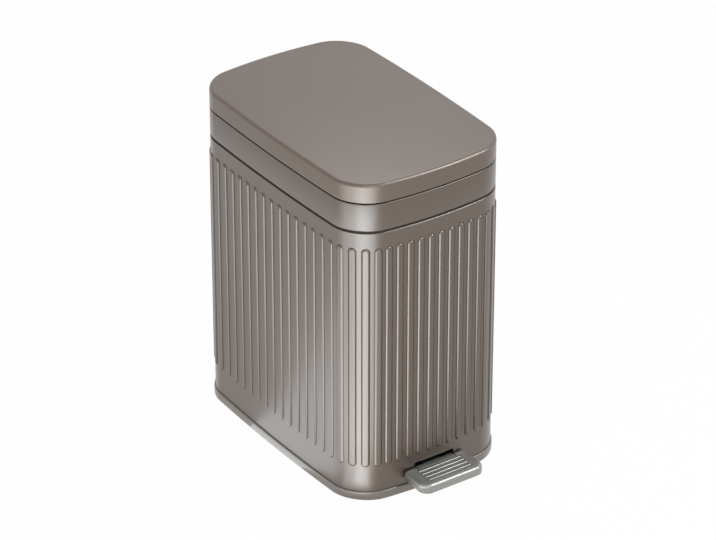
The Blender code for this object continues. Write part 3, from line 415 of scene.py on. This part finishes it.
liner_plastic = moulded("liner_plastic", (74, 69, 64), 0.5, 1400.0, 0.00003)
bucket_plastic = moulded("bucket_plastic", (62, 60, 58), 0.45, 1100.0, 0.00003)
# A dark brown that paints the shade in the gap between collar and wall.
painted_seam_shade = moulded("painted_seam_shade", (46, 33, 23), 0.8, 1400.0, 0.00003)
soft_rubber = moulded("soft_rubber", (38, 37, 36), 0.8, 900.0, 0.00005)
print("moulded finishes:", liner_plastic.name, bucket_plastic.name, painted_seam_shade.name, soft_rubber.name)

# %% [markdown]
# The wall is thin steel with ribs pressed out from inside. Each rib is a long island with round
# ends, a rounded shoulder and a flat crown. Separate ribs laid on a smooth wall would show a seam,
# and a bump pattern would leave the outline smooth. So a grid wrapped round the bin is lifted by the
# distance in from the island's edge, which gives the round ends without any special case. The same
# distance picks the faces of the crease round each rib, which get a darker lacquer as painted shade.

# %% The ribbed wall
RIB_BOTTOM = 0.0411
RIB_TOP = wall_high.z - 0.0171
RIB_HALF = 0.0039
RIB_SHOULDER = 0.0014
RIB_RISE = 0.0013
FRONT_RIBS = 10
SIDE_RIBS = 15
CORNER_RIBS = 4
FRONT_PITCH = 0.01295
SIDE_PITCH = 0.01585
CORNER_WIDENING = 0.085
ACROSS_SHARES = (-1.12, -1.0, -0.9, -0.78, -0.66, -0.5, -0.2, 0.2, 0.5, 0.66, 0.78, 0.9, 1.0, 1.12)
CREASE_OUT = 0.0004
CREASE_IN = 0.0005
TURN_IN = 0.0004
SLOT_HALF = 0.0245
SLOT_TOP = 0.0322
LENGTH_SHARES = (0.2, 0.4, 0.6, 0.8)
ALONG_STEPS = (0.0, 0.0004, 0.0008, 0.0013, 0.0019, 0.0026, 0.0034, 0.0044, 0.0058)

half_front = WIDTH / 2 - CORNER
half_side = DEPTH / 2 - CORNER
corner_run = CORNER * math.pi / 2
quarter_run = half_front + corner_run + half_side


def rib_centres():
    """Runs along the outline, from the middle of the front, where the ribs have their middles."""
    front_spread = FRONT_PITCH * (FRONT_RIBS - 1)
    side_spread = SIDE_PITCH * (SIDE_RIBS - 1)
    corner_pitch = (quarter_run - front_spread / 2 - side_spread / 2) / (CORNER_RIBS + 1)
    shares = [1 + CORNER_WIDENING * (2 * i / CORNER_RIBS - 1) for i in range(CORNER_RIBS + 1)]
    widening = [corner_pitch * share for share in shares]
    half_round = [FRONT_PITCH] * (FRONT_RIBS - 1) + widening
    half_round += [SIDE_PITCH] * (SIDE_RIBS - 1) + widening[::-1]
    place = -front_spread / 2
    centres = []
    for gap in half_round + half_round:
        centres.append(place)
        place += gap
    return centres


def wall_place(run, outset):
    """The bowed plan point at a run along the outline, pushed out by outset."""
    half = 2 * quarter_run
    run = run % (2 * half)
    turned = run >= half
    run = run % half
    mirrored = run > quarter_run
    run = half - run if mirrored else run
    reach = CORNER + outset
    if run <= half_front:
        x, y = run, -half_side - reach
    elif run <= half_front + corner_run:
        turn = (run - half_front) / CORNER
        x, y = half_front + reach * math.sin(turn), -half_side - reach * math.cos(turn)
    else:
        x, y = half_front + reach, -half_side + run - half_front - corner_run
    y = -y if mirrored else y
    x, y = (-x, -y) if turned else (x, y)
    x, y = bow(x, y)
    return x, y + MIDDLE_Y


def shoulder(depth):
    """How far a pressed island has risen, as a share, at a depth in from its edge."""
    share = min(max(depth / RIB_SHOULDER, 0.0), 1.0)
    return share * share * (3 - 2 * share)


def island_depth(across, z):
    """How far in from the edge of a rib a place lies. It is negative outside the rib."""
    end = min(z - RIB_BOTTOM, RIB_TOP - z)
    if end >= RIB_HALF:
        return RIB_HALF - abs(across)
    return RIB_HALF - math.hypot(across, RIB_HALF - end)


def rib_lift(across, z):
    return RIB_RISE * shoulder(island_depth(across, z))


rows = [wall_low.z, (wall_low.z + RIB_BOTTOM) / 2, RIB_BOTTOM - CREASE_OUT]
rows += [RIB_BOTTOM + step for step in ALONG_STEPS]
rows += [RIB_BOTTOM + (RIB_TOP - RIB_BOTTOM) * share for share in LENGTH_SHARES]
rows += [RIB_TOP - step for step in reversed(ALONG_STEPS)]
rows += [RIB_TOP + CREASE_OUT, (wall_high.z + RIB_TOP) / 2]
rows += [wall_high.z - 3 * TURN_IN, wall_high.z - TURN_IN, wall_high.z]
columns = [(centre, share * RIB_HALF) for centre in rib_centres() for share in ACROSS_SHARES]
levels = []
for z in rows:
    turn_in = TURN_IN if z == wall_high.z else 0.0
    level = [wall_place(centre + across, rib_lift(across, z) - turn_in) for centre, across in columns]
    levels.append((level, z))
wall = skin("ribbed_wall", levels, tube=True)
wall.data.materials.append(lacquer)
wall.data.materials.append(painted_crease_shade)
# The faces round each rib take the darker lacquer, which paints the shade in the crease.
for face in wall.data.polygons:
    row, column = divmod(face.index, len(columns))
    across = [columns[(column + step) % len(columns)] for step in (0, 1)]
    middle = (across[0][1] + across[1][1]) / 2
    same_rib = across[0][0] == across[1][0]
    depth = island_depth(middle, (rows[row] + rows[row + 1]) / 2)
    if same_rib and -CREASE_OUT < depth < CREASE_IN:
        face.material_index = 1
thicken = wall.modifiers.new("sheet", "SOLIDIFY")
thicken.thickness = SHEET
thicken.offset = -1
apply_all(wall)
slot_low = (-SLOT_HALF, FACE - CUT, wall_low.z - CUT)
slot_high = (SLOT_HALF, FACE + 2 * CUT, SLOT_TOP)
trim(wall, box("slot_cutter", slot_low, slot_high))
smooth(wall, 40)
dress(wall, "body_shell", lacquer, "bin")
print("ribs:", len(rib_centres()), "wall faces:", len(wall.data.polygons))

# %% [markdown]
# The collar is one moulded ring: a plain band outside, a lip and a shelf inside, and a skirt that
# drops into the wall. It could be a thickened band, but its section changes too often for that, so
# one closed skin follows the section all the way round. Its edges get a small radius, because a sharp
# edge catches no light. The shelf's inner edge follows the bucket, so the skin runs between unlike
# outlines there. The skirt gets a dark brown finish, which paints the shade in the gap between collar
# and wall.

# %% The collar
EDGE = 0.0007
COLLAR_WALL = 0.0025
LIP = 0.0060
LIP_DEPTH = 0.0022
SHELF_TOP = collar_high.z - 0.0158
SHELF_DEPTH = 0.0020
SKIRT_WALL = 0.0024
SKIRT_OUT = -SHEET - GAP
SKIRT_IN = SKIRT_OUT - SKIRT_WALL
BUCKET_RADIUS = 0.0280
BUCKET_FLANGE = 0.0045
BUCKET_ROOM = 0.0010
ROD_CUT_HALF = 0.0090
ROD_CUT_FRONT = 0.1240
ROD_CUT_REAR = 0.1443
ROD_CUT_RISE = 0.003
bucket_half_x = (bucket_high.x - bucket_low.x) / 2 - BUCKET_FLANGE
bucket_half_y = (bucket_high.y - bucket_low.y) / 2 - BUCKET_FLANGE
bucket_middle = (bucket_high.y + bucket_low.y) / 2


def bucket_plan(offset):
    halves = (bucket_half_x + offset, bucket_half_y + offset)
    return [tuple(point) for point in rounded(*halves, BUCKET_RADIUS + offset, bucket_middle)]


hole = bucket_plan(BUCKET_ROOM)
collar_levels = eased_foot(0, COLLAR_BOTTOM, EDGE) + eased(0, collar_high.z, EDGE)
collar_levels += [
    (plan(-LIP + EDGE), collar_high.z),
    (plan(-LIP), collar_high.z - EDGE),
    (plan(-LIP), collar_high.z - LIP_DEPTH),
    (plan(-COLLAR_WALL), collar_high.z - LIP_DEPTH),
    (plan(-COLLAR_WALL), SHELF_TOP),
    (hole, SHELF_TOP),
    (hole, SHELF_TOP - SHELF_DEPTH),
    (plan(SKIRT_IN), SHELF_TOP - SHELF_DEPTH),
    (plan(SKIRT_IN), collar_low.z),
    (plan(SKIRT_OUT), collar_low.z),
    (plan(SKIRT_OUT), COLLAR_BOTTOM),
]
collar = skin("collar_band", collar_levels, ring=True)
rod_low = (-ROD_CUT_HALF, ROD_CUT_FRONT + MIDDLE_Y, SHELF_TOP - SHELF_DEPTH - ROD_CUT_RISE)
rod_high = (ROD_CUT_HALF, ROD_CUT_REAR + MIDDLE_Y, SHELF_TOP + ROD_CUT_RISE)
trim(collar, box("rod_cutter", rod_low, rod_high))
smooth(collar)
dress(collar, "collar", lacquer, "bin")
collar.data.materials.append(painted_seam_shade)
# The skirt and the underside take the dark moulding, which paints the shade in the gap below the collar.
for face in collar.data.polygons:
    if face.center.z < COLLAR_BOTTOM + EDGE / 8:
        face.material_index = 1
print("collar faces:", len(collar.data.polygons))

# %% [markdown]
# The lid is a single pressing: a flat top, a rolled edge and a side that comes down to the collar.
# A box with a bevel would make it, but would lose the bowed outline. So the skin climbs inside,
# turns at the foot and rises again outside. The roll is what the light runs along, so it gets twelve
# steps outside and fewer inside.

# %% The lid
LID_ROLL = 0.0035
LID_SHEET = 0.0010
LID_BURR = 0.0003
ROLL_STEPS = 12
INSIDE_STEPS = 8
outer = eased(0, TOP, LID_ROLL, ROLL_STEPS)
inner = eased(-LID_SHEET, TOP - LID_SHEET, LID_ROLL - LID_SHEET, INSIDE_STEPS)
foot = [
    (plan(-LID_SHEET), lid_low.z),
    (plan(-LID_BURR), lid_low.z),
    (plan(0), lid_low.z + LID_BURR),
]
lid = skin("lid_cover", list(reversed(inner)) + foot + outer)
smooth(lid, 25)
dress(lid, "lid_shell", lid_lacquer, "lid")
print("lid top at %.4f" % TOP)

# %% [markdown]
# The base is a shallow tray. Its outer edge is rounded top and bottom and stands a little proud of
# the wall, an upstand inside it holds the wall in place, and two ears carry the pedal's axle. Only
# the rim is seen, but the whole tray is one skin, so that it stays a closed solid.

# %% The base
BASE_OUTSET = 0.0017
BASE_FOOT_RADIUS = 0.0010
BASE_EDGE_RADIUS = 0.0014
BASE_EDGE_STEPS = 4
UPSTAND_WALL = 0.0020
UPSTAND_TOP = 0.0220
TRAY_BOTTOM = 0.0020
TRAY_TOP = 0.0040
PIVOT_Y = MIDDLE_Y - 0.1180
NOTCH_LEDGE = 0.0080
NOTCH_TOP = 0.0300
NOTCH_TO_PIVOT = 0.0120
EAR_INSIDE = 0.0107
EAR_OUTSIDE = 0.0147
EAR_HALF_LENGTH = 0.006
EAR_BOTTOM = 0.003
EAR_TOP = 0.0242
RING_IN = SKIRT_OUT - UPSTAND_WALL
base_levels = [(plan(RING_IN), TRAY_BOTTOM), (plan(RING_IN), base_low.z)]
base_levels += eased_foot(BASE_OUTSET, base_low.z, BASE_FOOT_RADIUS)
base_levels += eased(BASE_OUTSET, BASE_TOP, BASE_EDGE_RADIUS, BASE_EDGE_STEPS)
base_levels += [
    (plan(SKIRT_OUT), BASE_TOP),
    (plan(SKIRT_OUT), UPSTAND_TOP),
    (plan(RING_IN), UPSTAND_TOP),
    (plan(RING_IN), TRAY_TOP),
]
tray = skin("base_tray", base_levels)
notch_low = (-SLOT_HALF, FACE - CUT, NOTCH_LEDGE)
notch_high = (SLOT_HALF, PIVOT_Y - NOTCH_TO_PIVOT, NOTCH_TOP)
trim(tray, box("notch_cutter", notch_low, notch_high))
for side in (-1, 1):
    near, far = sorted((side * EAR_INSIDE, side * EAR_OUTSIDE))
    ear_low = (near, PIVOT_Y - EAR_HALF_LENGTH, EAR_BOTTOM)
    ear_high = (far, PIVOT_Y + EAR_HALF_LENGTH, EAR_TOP)
    trim(tray, box("ear", ear_low, ear_high), "UNION")
smooth(tray)
dress(tray, "base", base_lacquer, "bin")
print("base ring from %.4f to %.4f" % (base_low.z, BASE_TOP))

# %% [markdown]
# The foot pad is a pressed plate with a rolled front, a hollow underside and a tongue that runs
# back through the slot in the wall. Two short cuts part the tongue from the wings, and behind the
# wall's face the tongue steps down, which leaves the slot dark. The plate is a skin that is cut to
# shape, because its plan is simple and its openings aren't. The grip is four low bars with round
# ends, each standing on a flat dark ring that paints the shade round its foot, and a dark plate in
# each cut paints the shade at its bottom. A bevel would round the bars' corners too, but shrinking
# outlines give the soft crown that a press forms. At the end all is joined into one object.

# %% The foot pad
PAD_WALL = 0.0020
PAD_ROLL = 0.0035
PAD_CORNER = 0.0110
PAD_ROLL_STEPS = 9
TONGUE_HALF = 0.0225
NOTCH_WIDTH = 0.0015
NOTCH_DEPTH = 0.0050
BAR_COUNT = 4
BAR_PITCH = 0.0060
BAR_FIRST = 0.0080
BAR_HALF_LENGTH = 0.0270
BAR_HALF_WIDTH = 0.0012
BAR_RISE = 0.0007
BAR_ROOM = 0.0008
BAR_STEPS = 8
SHADE_RING_WIDTH = 0.0009
SHADE_RING_LIFT = 0.00004
NOTCH_SHADE_DROP = 0.0009
REAR_HALF = 0.0375
WALL_GAP = 0.0015
RIM_EDGE = 0.0006
RIM_EASE = 0.0002
TONGUE_SETBACK = 0.0008
TONGUE_DROP = 0.0040
CROWN_SHARES = ((0.0, 0.0), (0.10, 0.35), (0.25, 0.68), (0.45, 0.90), (0.70, 1.0))

pad_top = pad_high.z - BAR_ROOM
front_half = pad_high.x
pad_front = pad_low.y
pad_rear = pad_high.y
wing_rear = FACE - WALL_GAP


def pad_plan(inset):
    points = [(REAR_HALF - inset, pad_rear), (-REAR_HALF + inset, pad_rear)]
    radius = PAD_CORNER - inset
    for side, start in ((-1, 180), (1, 270)):
        for step in range(CORNER_STEPS + 1):
            turn = math.radians(start + 90 * step / CORNER_STEPS)
            x = side * (front_half - PAD_CORNER) + radius * math.cos(turn)
            points.append((x, pad_front + PAD_CORNER + radius * math.sin(turn)))
    return points


levels = [(pad_plan(RIM_EDGE), pad_low.z), (pad_plan(RIM_EASE), pad_low.z + RIM_EASE)]
levels.append((pad_plan(0), pad_low.z + RIM_EDGE))
for step in range(PAD_ROLL_STEPS + 1):
    turn = math.pi / 2 * step / PAD_ROLL_STEPS
    drop = PAD_ROLL * (1 - math.sin(turn))
    levels.append((pad_plan(PAD_ROLL * (1 - math.cos(turn))), pad_top - drop))
pad = skin("foot_plate", levels)
hollow = [(x, min(y, wing_rear - PAD_WALL)) for x, y in pad_plan(PAD_WALL)]
under = pad_low.z - CUT
over = pad_top + CUT
behind = pad_rear + CUT
trim(pad, skin("hollow_cutter", [(hollow, under), (hollow, pad_top - PAD_WALL)]))
tongue_inner = TONGUE_HALF - PAD_WALL
tongue_low = (-tongue_inner, wing_rear - 2 * PAD_WALL, under)
trim(pad, box("tongue_cutter", tongue_low, (tongue_inner, behind, pad_top - PAD_WALL)))
for side in (-1, 1):
    near, far = sorted((side * TONGUE_HALF, side * (front_half + CUT)))
    trim(pad, box("wing_cutter", (near, wing_rear, under), (far, behind, over)))
    near, far = sorted((side * TONGUE_HALF, side * (TONGUE_HALF + NOTCH_WIDTH)))
    notch_low = (near, wing_rear - NOTCH_DEPTH, under)
    trim(pad, box("notch_cutter", notch_low, (far, wing_rear + CUT, over)))
step_low = (-front_half, FACE + TONGUE_SETBACK, pad_top - TONGUE_DROP)
trim(pad, box("tongue_step", step_low, (front_half, behind, over)))


def bar_plan(y, inset):
    """A bar with round ends, seen from above."""
    radius = BAR_HALF_WIDTH - inset
    points = []
    for side, start in ((1, -90), (-1, 90)):
        for step in range(BAR_STEPS + 1):
            turn = math.radians(start + 180 * step / BAR_STEPS)
            x = side * (BAR_HALF_LENGTH - BAR_HALF_WIDTH) + radius * math.cos(turn)
            points.append((x, y + radius * math.sin(turn)))
    return points


bars = []
foot_height = pad_top + SHADE_RING_LIFT
for index in range(BAR_COUNT):
    y = wing_rear - BAR_FIRST - BAR_PITCH * index
    shade_ring = bar_plan(y, -SHADE_RING_WIDTH)
    rings = [(shade_ring, pad_top - PAD_WALL / 2), (shade_ring, foot_height)]
    for share, lift in CROWN_SHARES:
        rings.append((bar_plan(y, BAR_HALF_WIDTH * share), foot_height + BAR_RISE * lift))
    bar = smooth(skin("grip_bar_%d" % (index + 1), rings), 50)
    bar.data.materials.append(nickel)
    bar.data.materials.append(painted_shade_nickel)
    # The flat ring at each bar's foot takes the darker nickel: painted shade.
    for face in bar.data.polygons:
        if abs(face.center.z - foot_height) < SHADE_RING_LIFT / 4:
            face.material_index = 1
    bars.append(bar)
# A dark plate in each cut paints the shade at its bottom.
for side in (-1, 1):
    near, far = sorted((side * TONGUE_HALF, side * (TONGUE_HALF + NOTCH_WIDTH)))
    shade_plate_low = (near, wing_rear - NOTCH_DEPTH, pad_top - PAD_WALL)
    notch_shade_plate = box("notch_shade_plate", shade_plate_low, (far, wing_rear, pad_top - NOTCH_SHADE_DROP))
    notch_shade_plate.data.materials.append(painted_shade_nickel)
    bars.append(notch_shade_plate)
pad.data.materials.append(nickel)
smooth(pad, 28)
with bpy.context.temp_override(active_object=pad, selected_editable_objects=[pad, *bars]):
    bpy.ops.object.join()
dress(pad, "pedal_pad", nickel, "pedal")
print("foot plate faces:", len(pad.data.polygons))

# %% [markdown]
# The camera stands where the photograph's did: to the left of the front, thirty degrees up, with a
# long lens. A Track To constraint could aim it, but here its three axes are worked out from the
# direction it looks from, so a reader can see the numbers.

# %% Camera
AZIMUTH = math.radians(-34.656)
ELEVATION = math.radians(30.092)
DISTANCE = 10.538 * TOP
SIDE_SHIFT = 0.0191 * TOP
RISE_SHIFT = -0.0072 * TOP
FOCAL_PIXELS = 3745.0
FRAME_PIXELS = 716.0
SENSOR_MM = 36.0
FARTHEST = 50.0
back = Vector((
    math.sin(AZIMUTH) * math.cos(ELEVATION),
    -math.cos(AZIMUTH) * math.cos(ELEVATION),
    math.sin(ELEVATION),
))
right = Vector((math.cos(AZIMUTH), math.sin(AZIMUTH), 0))
up = back.cross(right)
target = Vector((0, MIDDLE_Y, TOP / 2)) + right * SIDE_SHIFT + up * RISE_SHIFT
lens = bpy.data.cameras.new("camera")
lens.sensor_width = SENSOR_MM
lens.lens = FOCAL_PIXELS * SENSOR_MM / FRAME_PIXELS
lens.clip_end = FARTHEST
camera = bpy.data.objects.new("camera", lens)
scene.collection.objects.link(camera)
turn = Matrix((right, up, back)).transposed()
camera.matrix_world = Matrix.Translation(target + back * DISTANCE) @ turn.to_4x4()
scene.camera = camera
print("lens %.1f mm" % lens.lens)

# %% [markdown]
# The bin stands on a plain white floor under a white surround. A plain matt floor would turn grey
# under these lamps, and a glowing one would take no shadow. So it glows for the camera and for
# reflections and is matt for all other light. The world does the same: a dim, even light on the
# object, and white where it is seen or mirrored.

# %% Floor and world
SEEN_SHARE = 0.98
FLOOR_RADIUS = 9.0
FLOOR_POINTS = 96
ROOM_LIGHT = 0.42

floor_finish = Finish("white_floor", Base_Color=(0.8, 0.8, 0.8, 1), Roughness=0.9)
glow = floor_finish.node("ShaderNodeEmission", {}, {"Color": (1, 1, 1, 1), "Strength": 1.0})
matt = Value(floor_finish, floor_finish.shader.outputs[0])
mixed = floor_finish.node("ShaderNodeMixShader", {}, [floor_finish.seen() * SEEN_SHARE, matt, glow])
floor_finish.tree.links.new(mixed.socket, floor_finish.tree.nodes["Material Output"].inputs["Surface"])
bm = bmesh.new()
bmesh.ops.create_circle(bm, cap_ends=True, segments=FLOOR_POINTS, radius=FLOOR_RADIUS)
floor = add_object("floor", bm)
floor.data.materials.append(floor_finish.material)

world = bpy.data.worlds.new("studio")
scene.world = world
sky = Nodes(world)
ground = sky.tree.nodes["Background"]
ground.inputs["Color"].default_value = (1, 1, 1, 1)
level = ROOM_LIGHT + sky.seen() * (1 - ROOM_LIGHT)
sky.tree.links.new(level.socket, ground.inputs["Strength"])
scene.view_settings.view_transform = "Standard"
print("room light:", ROOM_LIGHT)

# %% [markdown]
# Metal shows what stands round it, so it is lit by panels. Seen from above, an upright wall mirrors
# the floor before it, so the panels lie on the floor. Each wall height mirrors its own distance, and
# a panel that grows wider with distance looks equally wide from every height. So a fan of panels
# runs out from the near corner and draws an even bright line down it, and a second fan, a little
# lower so that the two don't meet, softens it to the left. A short panel lights the foot of the side.
# The lid mirrors what hangs behind it on the right, and a panel high on the front right draws the
# thin line along the lid's roll. The panels are a little cool, as daylight is beside a warm room,
# which keeps the highlights from turning brown.

# %% Lamps
NEAR_CORNER = Vector((-0.086, -0.120, 0.004))
PANEL_GAP = 0.001
FAN_SPANS = (0.02, 0.08, 0.16, 0.32, 0.62, 1.25)
CORNER_FAN_SHARE = 0.78
GLOW_FAN_SHARE = 1.10
CORNER_AZIMUTH = -36
GLOW_AZIMUTH = -68
SIDE_AZIMUTH = -118
DAYLIGHT = (0.78, 0.90, 1.0)


def soft_lamp(name, matrix, width, length, power):
    """A rectangular lamp. The camera doesn't see the lamp itself."""
    data = bpy.data.lights.new(name, "AREA")
    data.shape = "RECTANGLE"
    data.size = width
    data.size_y = length
    data.energy = power
    data.color = DAYLIGHT
    lamp = bpy.data.objects.new(name, data)
    scene.collection.objects.link(lamp)
    lamp.matrix_world = matrix
    lamp.visible_camera = False


def lying_panel(name, azimuth, near, far, width, brightness, drop):
    """A panel on the floor that shines up, at an angle from the front round the near corner."""
    turn = math.radians(azimuth)
    place = NEAR_CORNER + Vector((math.sin(turn), -math.cos(turn), 0)) * (near + far) / 2
    place.z -= drop
    flipped = Matrix.Rotation(turn, 4, "Z") @ Matrix.Rotation(math.pi, 4, "Y")
    length = far - near
    power = brightness * math.pi * width * length
    soft_lamp(name, Matrix.Translation(place) @ flipped, width, length, power)


def hanging_panel(name, place, aim, size, power):
    """A square panel that hangs at a place and faces a point."""
    facing = (Vector(aim) - Vector(place)).to_track_quat("-Z", "Y").to_matrix().to_4x4()
    soft_lamp(name, Matrix.Translation(place) @ facing, size, size, power)


for number, (near, far) in enumerate(zip(FAN_SPANS, FAN_SPANS[1:])):
    middle = (near + far) / 2
    corner_width = CORNER_FAN_SHARE * middle
    glow_width = GLOW_FAN_SHARE * middle
    lying_panel(f"corner_panel_{number}", CORNER_AZIMUTH, near, far, corner_width, 4.5, 0)
    lying_panel(f"glow_panel_{number}", GLOW_AZIMUTH, near, far, glow_width, 2.7, PANEL_GAP)
lying_panel("side_panel", SIDE_AZIMUTH, 0.05, 0.42, width=0.30, brightness=1.3, drop=2 * PANEL_GAP)
hanging_panel("lid_panel", (0.30, 0.36, 1.0), (-0.05, -0.12, TOP), size=0.30, power=1.0)
hanging_panel("front_panel", (-0.9, -1.9, 1.3), (0, 0, 0.2), size=0.8, power=13.0)
hanging_panel("rim_panel", (1.0, -1.1, 1.45), (0, -0.1, 0.1), size=0.7, power=24.0)

# %% [markdown]
# What the eye seldom sees keeps the frame's own solids. They could be rebuilt like the pieces above,
# but their shape is right already, so only their finish is set: plated steel for the linkage and the
# fasteners, dark plastic for the liner and the guides, rubber for the feet.

# %% Finishes for the carried-over solids
by_finish = {
    "satin_nickel": nickel,
    "zinc_steel": zinc,
    "dark_plastic": liner_plastic,
    "bucket_plastic": bucket_plastic,
    "rubber": soft_rubber,
    "bronze_metal": lacquer,
    "bronze_plastic": lacquer,
}
for part in frame["record"]["subparts"]:
    thing = nodes[part["node"]]
    finish = by_finish[part["material_slot"]]
    for slot in thing.material_slots:
        slot.material = finish
